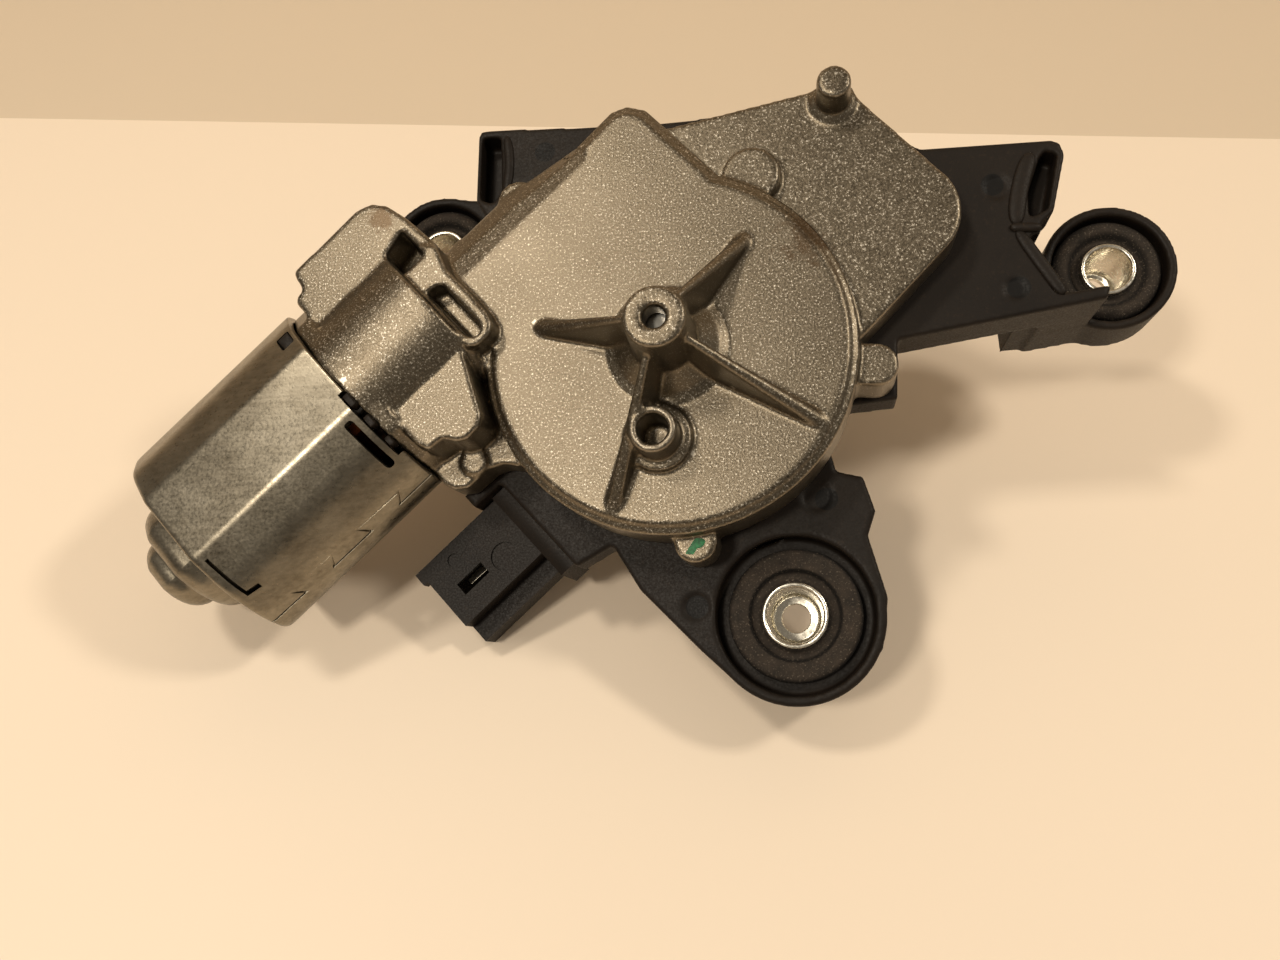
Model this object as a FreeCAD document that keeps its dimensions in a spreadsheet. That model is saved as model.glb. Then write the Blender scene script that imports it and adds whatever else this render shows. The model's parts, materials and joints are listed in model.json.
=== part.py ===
import FreeCAD, Part
import math
import os
import Sketcher
from FreeCAD import Placement, Rotation, Vector

# Rear wiper motor: worm gear motor with a sector linkage, millimetres.
# The casting frame has its origin on the worm wheel's axis in the plane of the
# cover face, +Z out of that face. The motor frame has its origin where the worm
# axis passes nearest the wheel axis, +Z towards the back of the can, +Y out of
# the cover face and +X towards the wheel axis.

doc = FreeCAD.newDocument("wiper_motor")
sheet = doc.addObject("Spreadsheet::Sheet", "Sizes")


class Size:
    """A length that knows its value and the sheet expression it comes from."""

    def __init__(self, value, text):
        self.value = value
        self.text = text

    def __add__(self, other):
        return joined(self, other, "+")

    def __radd__(self, other):
        return joined(other, self, "+")

    def __sub__(self, other):
        return joined(self, other, "-")

    def __rsub__(self, other):
        return joined(other, self, "-")

    def __mul__(self, other):
        return joined(self, other, "*")

    def __rmul__(self, other):
        return joined(other, self, "*")

    def __truediv__(self, other):
        return joined(self, other, "/")

    def __neg__(self):
        return joined(0, self, "-")


def number(size):
    """The plain number of a Size or of a number."""
    return size.value if isinstance(size, Size) else float(size)


def words(size):
    """The expression text of a Size or of a number."""
    return size.text if isinstance(size, Size) else repr(size)


def joined(left, right, sign):
    """Two sizes joined by one of the four arithmetic signs."""
    a = number(left)
    b = number(right)
    if sign == "+":
        value = a + b
    elif sign == "-":
        value = a - b
    elif sign == "*":
        value = a * b
    else:
        value = a / b
    return Size(value, "(%s %s %s)" % (words(left), sign, words(right)))


def drive(name, value, note):
    """Write one driving dimension into the sheet and return it as a Size."""
    drive.row += 1
    cell = "B%d" % drive.row
    sheet.set("A%d" % drive.row, name)
    sheet.set(cell, str(value))
    sheet.set("C%d" % drive.row, note)
    sheet.setAlias(cell, name)
    return Size(float(value), "Sizes." + name)


drive.row = 0

# Gear housing
parting_depth = drive("parting_depth", 17, "cover face to the joint with the bracket")
roof_wall = drive("roof_wall", 2.5, "wall over the worm wheel")
cast_wall = drive("cast_wall", 2.4, "side wall of the sector chamber")
drum_radius = drive("drum_radius", 39.8, "outside of the wheel drum")
ledge_drop = drive("ledge_drop", 1.2, "step round the cover face")
ledge_width = drive("ledge_width", 1.8, "width of that step")
sector_drop = drive("sector_drop", 6.5, "cover face down to the sector chamber roof")
tunnel_reach = drive("tunnel_reach", 12.0, "worm axis to the tunnel's outer side near the neck")
tunnel_tip_reach = drive("tunnel_tip_reach", 7.9, "the same at the tunnel's closed end")
neck_radius = drive("neck_radius", 19.2, "outside of the round neck")
shoulder_height = drive("shoulder_height", 4.5, "flat shoulders beside the neck, above the face")
bar_height = drive("bar_height", 5.5, "flange bar between the neck and the face, above the face")
hub_radius = drive("hub_radius", 6.3, "axle hub at its top")
hub_height = drive("hub_height", 20, "axle hub above the face")
hub_bore = drive("hub_bore", 2.3, "centre hole at the top of the axle hub")
spigot_x = drive("spigot_x", -1.8, "spigot axis")
spigot_y = drive("spigot_y", -19.8, "spigot axis")
spigot_radius = drive("spigot_radius", 4.9, "spigot beside the hub")
spigot_bore = drive("spigot_bore", 3.1, "bore of the spigot")
spigot_height = drive("spigot_height", 10, "spigot above the face")
dowel_x = drive("dowel_x", 36.2, "locating dowel axis")
dowel_y = drive("dowel_y", 56.0, "locating dowel axis")
dowel_radius = drive("dowel_radius", 3.7, "locating dowel")
dowel_height = drive("dowel_height", 9, "locating dowel above the sector chamber roof")
lug_radius = drive("lug_radius", 4.6, "screw lugs")
rib_height = drive("rib_height", 15.5, "ribs where they meet the hub")

# Worm gear
gear_module = drive("gear_module", 1.25, "worm and wheel")
wheel_teeth = drive("wheel_teeth", 59, "teeth on the worm wheel")
axis_distance = drive("axis_distance", 43.5, "worm axis to wheel axis")
worm_depth = drive("worm_depth", 9, "worm axis below the cover face")
wheel_width = drive("wheel_width", 8, "toothed rim")
motor_angle = drive("motor_angle", 43, "motor axis from the casting's X axis")
axle_radius = drive("axle_radius", 4, "fixed axle of the worm wheel")
running_gap = drive("running_gap", 0.05, "radial clearance of shafts and bores")
side_gap = drive("side_gap", 0.3, "clearance between flat moving faces")

# Sector linkage and output
output_x = drive("output_x", 18.1, "output axis")
output_y = drive("output_y", 39.0, "output axis")
sector_module = drive("sector_module", 1.5, "sector and pinion")
pinion_teeth = drive("pinion_teeth", 13, "teeth on the output pinion")
sector_teeth = drive("sector_teeth", 24, "full tooth count of the sector circle")
link_rest_angle = drive("link_rest_angle", -3, "link direction at rest")
link_swing = drive("link_swing", 56, "swing of the link between its two ends")
rod_thickness = drive("rod_thickness", 3.5, "sector rod")
link_thickness = drive("link_thickness", 2, "rocker link")
pivot_radius = drive("pivot_radius", 2.5, "pivot pin of the rod")
crank_pin_radius = drive("crank_pin_radius", 3, "crank pin on the wheel")
shaft_radius = drive("shaft_radius", 5, "output shaft")
shaft_end_depth = drive("shaft_end_depth", 85, "cover face down to the shaft end")
tube_radius = drive("tube_radius", 8, "outside of the output tube")
tube_bore = drive("tube_bore", 6.4, "bore of the output tube")
tube_end_depth = drive("tube_end_depth", 62, "cover face down to the tube end")
bush_length = drive("bush_length", 9, "shaft bushes in the tube")

# Motor
can_half_width = drive("can_half_width", 27, "can, half of its width")
can_half_height = drive("can_half_height", 19, "can, half of its height")
can_wall = drive("can_wall", 1.8, "can sheet")
can_start = drive("can_start", 55.5, "wheel axis station of the joint with the neck")
can_length = drive("can_length", 47.5, "can")
motor_shaft_radius = drive("motor_shaft_radius", 3.5, "armature shaft")
core_radius = drive("core_radius", 15.2, "armature laminations")

# Bracket and mounts
bracket_height = drive("bracket_height", 9.5, "bracket tray")
bracket_wall = drive("bracket_wall", 3, "bracket walls and floor")
ear_radius = drive("ear_radius", 15, "outside of the two side ears")
low_ear_radius = drive("low_ear_radius", 19.2, "outside of the lower ear")
low_ear_wall = drive("low_ear_wall", 2.2, "wall round the lower grommet")
ear_height = drive("ear_height", 14, "ears along their axes")
side_ear_depth = drive("side_ear_depth", 36, "cover face down to the rim of the side ears")
grommet_radius = drive("grommet_radius", 12.3, "rubber grommets of the side ears")
low_grommet_radius = drive("low_grommet_radius", 14.4, "rubber grommet of the lower ear")
groove_depth = drive("groove_depth", 3.5, "groove of the grommets")
dish_width = drive("dish_width", 3.4, "rim of the grommets round their dished top")
web_thickness = drive("web_thickness", 3.5, "web of each ear, held by the grommet groove")
web_drop = drive("web_drop", 5.2, "rim of each ear down to its web")
grommet_room = drive("grommet_room", 0.6, "gap between the grommets and the ears")
sleeve_radius = drive("sleeve_radius", 6.2, "mounting sleeves of the side ears")
low_sleeve_radius = drive("low_sleeve_radius", 7.1, "mounting sleeve of the lower ear")
sleeve_wall = drive("sleeve_wall", 0.9, "sheet of the mounting sleeves")
sleeve_floor = drive("sleeve_floor", 1.6, "floor of the mounting sleeves")
sleeve_length = drive("sleeve_length", 17, "mounting sleeves")
mount_hole = drive("mount_hole", 3.2, "hole in the sleeve floor for an M6 screw")
screw_radius = drive("screw_radius", 2, "cover screws")

doc.recompute()

# Places read off the casting, in the casting frame
LUGS = [(43.2, -4.4), (5.0, -40.6), (-34.6, 37.6), (-46.0, 25.0)]
RIBS = [(169.0, 30.0), (53.6, 30.0), (-29.0, 38.0), (-108.6, 38.0)]
SECTOR_CORNERS = [(-3.0, 52.7), (32.4, 59.3), (40.5, 57.8), (59.2, 37.5), (58.8, 21.0), (40.0, 1.5), (0.0, 0.0)]
SECTOR_ROUND = (50.3, 29.5, 12.0)
# Outlines about the neck and the face's corner, along and across the motor line
FACE_CORNER = [
    (-24.0, 45.9), (16.0, 46.0), (16.8, 48.4), (28.4, 48.8), (31.8, 47.2), (34.0, 43.4), (34.3, 20.0),
    (0, 0), (-24, 20),
]
UPPER_SHOULDER = [
    (-51.2, 54), (-51.4, 64.8), (-50.6, 65.8), (-48.2, 66.4), (-47.6, 70.0), (-46.6, 71.0), (-27.5, 71.3),
    (-24.2, 70.0), (-22.0, 67.0), (-20.8, 61.6), (-20.0, 52.0), (-30, 48),
]
LOWER_SHOULDER = [
    (-31.0, 33), (-32.2, 28.3), (-38.0, 16.0), (-40.0, 14.5), (-43.8, 14.4), (-45.9, 15.6), (-47.4, 18.2),
    (-51.4, 18.6), (-52.5, 21.6), (-52.6, 33),
]
NECK_FOOT = [
    (-24.0, 52), (-24.0, 20), (-38.5, 5.0), (-40.9, 6.6), (-42.6, 9.0), (-45.8, 10.6), (-52.0, 10.8),
    (-54.5, 12.6), (-55.4, 15.0), (-55.4, 52),
]
FLANGE_BAR = [
    (-30.6, 52.0), (-30.6, 28.8), (-28.6, 27.5), (-25.2, 27.4), (-23.1, 28.7), (-22.3, 31.6), (-22.0, 38.0),
    (-22.2, 45.0), (-20.2, 51.0), (-24.0, 55.0),
]
BAR_POCKET = [(-28.9, 44.6), (-28.9, 30.4), (-27.6, 29.3), (-25.9, 29.6), (-25.2, 31.6), (-25.2, 43.6)]
SHOULDER_POCKET = [(-29.9, 58.2), (-23.4, 60.0), (-23.4, 51.5), (-29.9, 51.5)]
INNER_SCREW = (55.5, 24.0)
CORNER_SCREW = (-11.8, 49.8)
EARS = {"right": (99.2, 25.3), "left": (-63.5, 39.5), "lower": (25.0, -55.5)}


def along_motor(station, across=0.0, height=0.0):
    """Casting frame point at a station along the motor axis, offset across it and up."""
    return motor_frame.multVec(Vector(across, height, station))


def turned_frame(angle):
    """The casting frame turned about its Z axis."""
    return Placement(Vector(0, 0, 0), Rotation(Vector(0, 0, 1), angle))


motor_direction = math.radians(number(motor_angle))
toward_can = Vector(-math.cos(motor_direction), -math.sin(motor_direction), 0)
outward = Vector(0, 0, 1)
toward_wheel = outward.cross(toward_can)
motor_frame = Placement(
    toward_wheel * -number(axis_distance) + outward * -number(worm_depth),
    Rotation(toward_wheel, outward, toward_can, "XYZ"),
)
# The line frame has X along the motor axis away from the can and Y across it.
line_frame = turned_frame(number(motor_angle))


def at(x, y, z=0.0):
    """A place in the casting frame."""
    return Placement(Vector(number(x), number(y), number(z)), Rotation())


def motor_at(station):
    """A place on the motor axis."""
    return motor_frame.multiply(Placement(Vector(0, 0, number(station)), Rotation()))


# Helpers for bodies, sketches and features

sub_parts = []


def new_body(label):
    """An empty body for one sub-part."""
    body = doc.addObject("PartDesign::Body", "Body_" + label)
    body.Label = label
    return body


def keep(thing, label, frame):
    """Name a finished sub-part and remember where it goes."""
    thing.Label = label
    sub_parts.append((thing, frame))
    return thing


def sketch_on(body, name, lift=0.0, plane="XY_Plane", frame=None):
    """A sketch on an origin plane of its own body, lifted by a size or set in a frame."""
    drawing = body.newObject("Sketcher::SketchObject", name)
    support = [f for f in body.Origin.OriginFeatures if f.Role == plane][0]
    drawing.AttachmentSupport = [(support, "")]
    drawing.MapMode = "FlatFace"
    if frame is not None:
        drawing.AttachmentOffset = frame
    else:
        drawing.setExpression("AttachmentOffset.Base.z", words(lift))
    return drawing


def bind(drawing, dimensions):
    """Dimensions of a sketch, each tied to the sheet when its size comes from there."""
    first = drawing.ConstraintCount
    drawing.addConstraint([Sketcher.Constraint(kind, *ends, number(size)) for kind, ends, size in dimensions])
    for i, (kind, ends, size) in enumerate(dimensions):
        if isinstance(size, Size):
            drawing.setExpression("Constraints[%d]" % (first + i), size.text)


def outline(drawing, corners):
    """A closed outline through the corners."""
    first = drawing.GeometryCount
    count = len(corners)
    points = [Vector(number(x), number(y), 0) for x, y in corners]
    sides = [Part.LineSegment(points[i], points[(i + 1) % count]) for i in range(count)]
    drawing.addGeometry(sides, False)
    joins = [Sketcher.Constraint("Coincident", first + i, 2, first + (i + 1) % count, 1) for i in range(count)]
    places = []
    for i, (x, y) in enumerate(corners):
        places.append(("DistanceX", (-1, 1, first + i, 1), x))
        places.append(("DistanceY", (-1, 1, first + i, 1), y))
    drawing.addConstraint(joins)
    bind(drawing, places)


def disc(drawing, x, y, radius):
    """A circle at a bound place with a bound radius."""
    centre = Vector(number(x), number(y), 0)
    index = drawing.addGeometry(Part.Circle(centre, Vector(0, 0, 1), number(radius)), False)
    bind(drawing, [("DistanceX", (-1, 1, index, 3), x), ("DistanceY", (-1, 1, index, 3), y), ("Radius", (index,), radius)])


def extrude(body, name, drawing, length, taper=0.0):
    """Add material from a sketch along its normal."""
    feature = body.newObject("PartDesign::Pad", name)
    feature.Profile = drawing
    feature.setExpression("Length", words(length))
    feature.TaperAngle = taper
    drawing.Visibility = False
    return feature


def discs(drawing, places):
    """Several circles, each given as x, y and radius."""
    for x, y, radius in places:
        disc(drawing, x, y, radius)


def cut(body, name, drawing, length, forward=True):
    """Remove material along the sketch normal, or against it."""
    feature = body.newObject("PartDesign::Pocket", name)
    feature.Profile = drawing
    feature.setExpression("Length", words(length))
    feature.Reversed = forward
    return feature


def boss(body, name, x, y, radius, bottom, height, taper=0.0):
    """A round boss."""
    drawing = sketch_on(body, name + "Sketch", bottom)
    disc(drawing, x, y, radius)
    return extrude(body, name, drawing, height, taper)


def bore(body, name, x, y, radius, start, depth, forward=True):
    """A round hole from a level, upwards when forward."""
    drawing = sketch_on(body, name + "Sketch", start)
    disc(drawing, x, y, radius)
    return cut(body, name, drawing, depth, forward)


def bosses(body, name, places, bottom, height):
    """Several round bosses of one height, each given as x, y and radius."""
    drawing = sketch_on(body, name + "Sketch", bottom)
    discs(drawing, places)
    return extrude(body, name, drawing, height)


def bores(body, name, places, start, depth, forward=True):
    """Several round holes of one depth, each given as x, y and radius."""
    drawing = sketch_on(body, name + "Sketch", start)
    discs(drawing, places)
    return cut(body, name, drawing, depth, forward)


def slab(body, name, corners, bottom, height, taper=0.0):
    """A straight-sided block."""
    drawing = sketch_on(body, name + "Sketch", bottom)
    outline(drawing, corners)
    return extrude(body, name, drawing, height, taper)


def recess(body, name, corners, start, depth, forward=True):
    """A straight-sided pocket from a level."""
    drawing = sketch_on(body, name + "Sketch", start)
    outline(drawing, corners)
    return cut(body, name, drawing, depth, forward)


def turned(label, profile, frame):
    """A sub-part turned from a half section of (radius, height) corners."""
    body = new_body(label)
    drawing = sketch_on(body, label + "_section", plane="XZ_Plane")
    outline(drawing, profile)
    spin = body.newObject("PartDesign::Revolution", label + "_turned")
    spin.Profile = drawing
    spin.ReferenceAxis = (drawing, ["V_Axis"])
    spin.Angle = 360
    return keep(body, label, frame)


def ring(label, inner, outer, bottom, top, frame):
    """A plain bush or washer."""
    profile = [(inner, bottom), (outer, bottom), (outer, top), (inner, top)]
    return turned(label, profile, frame)


def inset(corners, distance):
    """The corners of an outline moved inwards by a distance."""
    area = 0.0
    count = len(corners)
    for i in range(count):
        x0, y0 = corners[i]
        x1, y1 = corners[(i + 1) % count]
        area += x0 * y1 - x1 * y0
    side = 1.0 if area > 0 else -1.0
    moved = []
    for i in range(count):
        before = Vector(*corners[i - 1], 0)
        here = Vector(*corners[i], 0)
        after = Vector(*corners[(i + 1) % count], 0)
        first = (here - before).normalize()
        second = (after - here).normalize()
        first_in = Vector(-first.y, first.x, 0) * side
        second_in = Vector(-second.y, second.x, 0) * side
        reach = distance / (1 + first_in.dot(second_in))
        point = here + (first_in + second_in) * reach
        moved.append((point.x, point.y))
    return moved


def from_line(s, t):
    """Casting frame x, y of a point given along and across the motor line."""
    point = line_frame.multVec(Vector(number(s), number(t), 0))
    return (point.x, point.y)


# Levels and pitch sizes that follow from the driving dimensions
wheel_pitch = gear_module * wheel_teeth / 2
worm_pitch = axis_distance - wheel_pitch
tooth_reach = gear_module * 0.85
wheel_top = wheel_width / 2 - worm_depth
wheel_bottom = -(wheel_width / 2) - worm_depth
rod_top = wheel_bottom - 1.3 - side_gap
rod_bottom = rod_top - rod_thickness
link_top = rod_bottom - side_gap
link_bottom = link_top - link_thickness
tray_floor = bracket_wall - parting_depth - bracket_height
pinion_pitch = sector_module * pinion_teeth / 2
sector_pitch = sector_module * sector_teeth / 2
link_length = pinion_pitch + sector_pitch
can_end = can_start + can_length
chamber_radius = wheel_pitch + tooth_reach + 0.4


def link_end(angle):
    """Pivot of the rod for a direction of the link."""
    turn = math.radians(angle)
    reach = number(link_length)
    return Vector(number(output_x) + reach * math.cos(turn), number(output_y) + reach * math.sin(turn), 0)


rest_pivot = link_end(number(link_rest_angle))
far_pivot = link_end(number(link_rest_angle) - number(link_swing))
crank_throw = (rest_pivot.Length - far_pivot.Length) / 2
rod_length = (rest_pivot.Length + far_pivot.Length) / 2
rod_direction = math.degrees(math.atan2(rest_pivot.y, rest_pivot.x))


def gear_housing():
    """Die-cast housing: wheel drum, sector chamber, worm tunnel and motor neck."""
    body = new_body("gear_housing")
    low = -parting_depth
    boss(body, "Drum", 0, 0, drum_radius, low, parting_depth - ledge_drop)
    slab(body, "CornerLedge", [from_line(s, t) for s, t in FACE_CORNER], low, parting_depth - ledge_drop)
    boss(body, "CoverFace", 0, 0, drum_radius - ledge_width, -ledge_drop, ledge_drop)
    face = inset(FACE_CORNER, number(ledge_width))
    slab(body, "FaceCorner", [from_line(s, t) for s, t in face], -ledge_drop, ledge_drop)
    slab(body, "SectorRoof", SECTOR_CORNERS, low, parting_depth - sector_drop)
    boss(body, "SectorEnd", SECTOR_ROUND[0], SECTOR_ROUND[1], SECTOR_ROUND[2], low, parting_depth - sector_drop)
    tunnel(body)
    bosses(body, "Lugs", [(x, y, lug_radius) for x, y in LUGS], low, parting_depth - 5.0)
    for i, (x, y) in enumerate(LUGS[:2]):
        lug_web(body, i, x, y, low)
    neck_parts(body, low)
    boss(body, "HubDisc", 0, 0, 12.4, -0.5, 1.1)
    boss(body, "HubFoot", 0, 0, 11.6, 0.5, 4.6, -45.0)
    boss(body, "Hub", 0, 0, hub_radius + 0.9, -0.5, hub_height - 1.0, -2.5)
    boss(body, "HubTop", 0, 0, hub_radius, hub_height - 3.0, 3.0)
    boss(body, "SpigotFoot", spigot_x, spigot_y, spigot_radius + 2.2, -0.5, 2.2)
    boss(body, "Spigot", spigot_x, spigot_y, spigot_radius, 0, spigot_height)
    for i, (angle, reach) in enumerate(RIBS):
        rib(body, i, angle, reach)
    boss(body, "BearingEmboss", output_x, output_y, 6.3, -sector_drop - 0.5, 4.0)
    boss(body, "DowelCollar", dowel_x, dowel_y, dowel_radius + 1.3, low, parting_depth - sector_drop + 1.0)
    boss(body, "Dowel", dowel_x, dowel_y, dowel_radius, -sector_drop, dowel_height)
    housing_cavities(body, low)
    keep(body, "gear_housing", at(0, 0))


def tunnel(body):
    """Faceted cover over the worm, narrower towards its closed end."""
    feature = body.newObject("PartDesign::AdditiveLoft", "Tunnel")
    sections = []
    for i, (station, reach) in enumerate(((31.5, tunnel_reach), (1.0, tunnel_reach), (-18.4, tunnel_tip_reach))):
        drawing = sketch_on(body, "TunnelSection%d" % i, frame=motor_at(station))
        foot = worm_depth - parting_depth
        top = worm_depth - ledge_drop / 2
        corners = [
            (4.0, foot), (-reach, foot), (-reach + 0.3, 1.0), (-reach * 0.8, 4.6), (-reach * 0.42, top - 0.6),
            (4.0, top),
        ]
        outline(drawing, corners)
        sections.append(drawing)
    feature.Profile = sections[0]
    feature.Sections = sections[1:]
    feature.Ruled = True


def lug_web(body, index, x, y, low):
    """The flat-sided root that joins a screw lug to the drum."""
    turn = Placement(Vector(0, 0, number(low)), Rotation(Vector(0, 0, 1), math.degrees(math.atan2(y, x))))
    drawing = sketch_on(body, "LugWeb%d" % index, frame=turn)
    reach = math.hypot(x, y)
    outline(drawing, [(30.0, -lug_radius), (reach, -lug_radius), (reach, lug_radius), (30.0, lug_radius)])
    extrude(body, "LugRoot%d" % index, drawing, parting_depth - 5.0)


def neck_parts(body, low):
    """The neck that carries the can: round barrel, flat shoulders and end flange."""
    barrel = sketch_on(body, "BarrelSketch", frame=motor_at(30.0))
    disc(barrel, 0, 0, neck_radius)
    extrude(body, "Barrel", barrel, can_start - 30.0)
    slab(body, "UpperShoulder", [from_line(s, t) for s, t in UPPER_SHOULDER], low, parting_depth + shoulder_height)
    slab(body, "LowerShoulder", [from_line(s, t) for s, t in LOWER_SHOULDER], low, parting_depth + shoulder_height)
    slab(body, "NeckFoot", [from_line(s, t) for s, t in NECK_FOOT], low, parting_depth - 8.0)
    slab(body, "FlangeBar", [from_line(s, t) for s, t in FLANGE_BAR], low, parting_depth + bar_height)
    recess(body, "BarPocket", [from_line(s, t) for s, t in BAR_POCKET], bar_height, bar_height, False)
    recess(body, "ShoulderPocket", [from_line(s, t) for s, t in SHOULDER_POCKET], bar_height, 11.0, False)
    flange = sketch_on(body, "FlangeSketch", frame=motor_at(can_start - 4.0))
    outline(flange, can_section(number(can_wall) + 0.1))
    extrude(body, "EndFlange", flange, 4.0)


def can_section(distance):
    """Corners of the can's section, moved inwards by a distance."""
    w = can_half_width - distance
    k = can_half_height - distance
    quarter = [(w, 0.0), (w - 2.2, k * 0.36), (w * 0.65, k * 0.8), (w * 0.325, k)]
    mirrored = [(-x, y) for x, y in reversed(quarter[:])]
    top = quarter + mirrored
    bottom = [(-x, -y) for x, y in top[1:-1]]
    return top + bottom


def rib(body, index, angle, reach):
    """A thin ridge from the hub down to the face, wide at its foot."""
    turn = Rotation(Vector(0, 0, 1), angle)
    foot = sketch_on(body, "RibFoot%d" % index, frame=Placement(Vector(0, 0, -0.4), turn))
    outline(foot, [(3.0, -2.4), (reach - 1.5, -1.7), (reach, -0.8), (reach, 0.8), (reach - 1.5, 1.7), (3.0, 2.4)])
    crest = sketch_on(body, "RibCrest%d" % index, frame=Placement(Vector(0, 0, number(rib_height)), turn))
    outline(crest, [(3.0, -0.8), (6.8, -0.75), (7.2, -0.5), (7.2, 0.5), (6.8, 0.75), (3.0, 0.8)])
    feature = body.newObject("PartDesign::AdditiveLoft", "Rib%d" % index)
    feature.Profile = foot
    feature.Sections = [crest]
    feature.Ruled = True


def housing_cavities(body, low):
    """Wheel chamber, sector chamber, worm tunnel, brush chamber and bores."""
    bore(body, "WheelChamber", 0, 0, chamber_radius, low, parting_depth - roof_wall)
    chamber = inset(SECTOR_CORNERS[:-1] + [(6.0, 6.0)], number(cast_wall))
    recess(body, "SectorChamber", chamber, low, parting_depth - sector_drop - roof_wall)
    end_x, end_y, end_radius = SECTOR_ROUND
    bore(body, "SectorEndChamber", end_x, end_y, end_radius - cast_wall, low, parting_depth - sector_drop - roof_wall)
    bore(body, "BushSeat", output_x, output_y, 4.4, low, parting_depth - sector_drop + 1.5)
    worm_bore = sketch_on(body, "WormBoreSketch", frame=motor_at(-15.0))
    disc(worm_bore, 0, 0, worm_pitch + tooth_reach + 0.3)
    cut(body, "WormBore", worm_bore, 38.0)
    pad_bore = sketch_on(body, "FrontSeatSketch", frame=motor_at(-17.0))
    disc(pad_bore, 0, 0, 5.5)
    cut(body, "FrontSeat", pad_bore, 3.0)
    seat = sketch_on(body, "MiddleSeatSketch", frame=motor_at(20.0))
    disc(seat, 0, 0, 6.0)
    cut(body, "MiddleSeat", seat, 14.0)
    brush_room = sketch_on(body, "BrushRoomSketch", frame=motor_at(33.0))
    disc(brush_room, 0, 0, neck_radius - 2.2)
    cut(body, "BrushRoom", brush_room, can_start - 33.0)
    bore(body, "AxleBore", 0, 0, axle_radius, -roof_wall, 16.5)
    bore(body, "HubHole", 0, 0, hub_bore, -roof_wall, 40.0)
    bore(body, "SpigotBore", spigot_x, spigot_y, spigot_bore, spigot_height, spigot_height + 0.3, False)
    column_x, column_y = INNER_SCREW
    boss(body, "ScrewColumn", column_x, column_y, screw_radius * 2, low, parting_depth - sector_drop - 1.0)
    pilots = [(x, y, screw_radius + running_gap) for x, y in screw_places()]
    bores(body, "Pilots", pilots, low, 10.5)


def screw_places():
    """Axes of the cover screws."""
    return LUGS[:2] + [INNER_SCREW, CORNER_SCREW, from_line(-47.0, 13.8)]


PLATE_CORNERS = [
    (-45.8, 62.0), (-47.6, 61.6), (-48.2, 60.2), (-48.4, 43.9), (-42.0, 33.0), (-34.0, 6.0), (-38.0, -14.0),
    (-44.0, -22.0), from_line(-55.0, 13.0), from_line(-55.0, 9.4), from_line(-47.0, 9.4), from_line(-47.0, -17.0),
    (-14.7, -39.8), (-8.5, -49.8), (4.6, -62.8), (12.5, -70.0), (43.0, -62.9), (44.5, -52.0), (40.8, -38.7),
    (42.6, -33.4), (40.2, -25.9), (34.6, -24.6), (33.4, -19.9), (38.0, -10.0), (48.2, -9.0), (48.8, 4.4),
    (92.7, 11.4), (93.0, 12.6), (92.2, 13.7), (82.4, 13.3), (77.5, 26.6), (80.4, 27.1), (80.5, 29.3),
    (83.3, 32.0), (86.4, 45.2), (85.6, 47.8), (83.8, 48.6), (55.5, 48.9), (42.0, 57.0), (32.0, 61.5), (-8.0, 60.0),
]


def ear_sizes(side):
    """Outside, grommet and sleeve radius of one ear, and how deep its rim lies."""
    if side == "lower":
        return low_ear_radius, low_grommet_radius, low_sleeve_radius, parting_depth
    return ear_radius, grommet_radius, sleeve_radius, side_ear_depth


def bracket_cover():
    """Moulded tray that closes the housing and carries the three ears."""
    body = new_body("bracket_cover")
    top = -parting_depth
    low = -parting_depth - bracket_height
    slab(body, "Plate", PLATE_CORNERS, low, bracket_height)
    for side, (x, y) in EARS.items():
        outside, rubber, sleeve, depth = ear_sizes(side)
        boss(body, side.title() + "Ear", x, y, outside, -depth - ear_height, ear_height)
    ear_low = -side_ear_depth - ear_height
    fall = number(top) - number(ear_low)
    right_x, right_y = EARS["right"]
    arm = [
        (81.0, 9.6), (93.0, 11.4), (97.0, 10.6), (right_x, right_y - number(ear_radius)), (right_x, right_y),
        (80.0, 30.0), (76.0, 26.0),
    ]
    slab(body, "RightArm", arm, ear_low, ear_height)
    slab(body, "RightPanel", [(81.0, 9.6), (93.0, 11.5), (94.0, 14.5), (81.0, 12.6)], ear_low, fall)
    tie = [
        (76.0, 10.0), (82.8, 10.4), (82.4, 13.6), (77.6, 26.6), (80.3, 27.2), (80.4, 29.4), (77.4, 30.2), (74.0, 30.2),
    ]
    slab(body, "RightTie", tie, ear_low, fall)
    slab(body, "FrontWall", [(47.0, 4.2), (92.7, 11.4), (92.2, 14.4), (46.5, 7.2)], low - 3.3, 6.0)
    left_x, left_y = EARS["left"]
    left_arm = [(-47.5, 52.0), (left_x, left_y + number(ear_radius)), (left_x, left_y - 13.0), (-46.0, 30.0)]
    slab(body, "LeftArm", left_arm, ear_low, ear_height)
    left_tie = [(-43.0, 52.0), (-48.3, 52.0), (-48.3, 34.0), (-43.0, 34.0)]
    slab(body, "LeftTie", left_tie, ear_low, number(low) - number(ear_low) + 1.0)
    boss(body, "TubeBoss", output_x, output_y, tube_radius + 3.0, -46.0, 24.0)
    for side, (x, y) in EARS.items():
        outside, rubber, sleeve, depth = ear_sizes(side)
        room = low_ear_radius - low_ear_wall if side == "lower" else rubber + grommet_room
        under = ear_height - web_drop - web_thickness
        bore(body, side.title() + "Recess", x, y, room, -depth, web_drop, False)
        bore(body, side.title() + "Under", x, y, rubber + grommet_room, -depth - ear_height, under)
        bore(body, side.title() + "Web", x, y, rubber - groove_depth + 0.3, -depth, ear_height, False)
    bracket_cavities(body, top, low)
    keep(body, "bracket_cover", at(0, 0))


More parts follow.
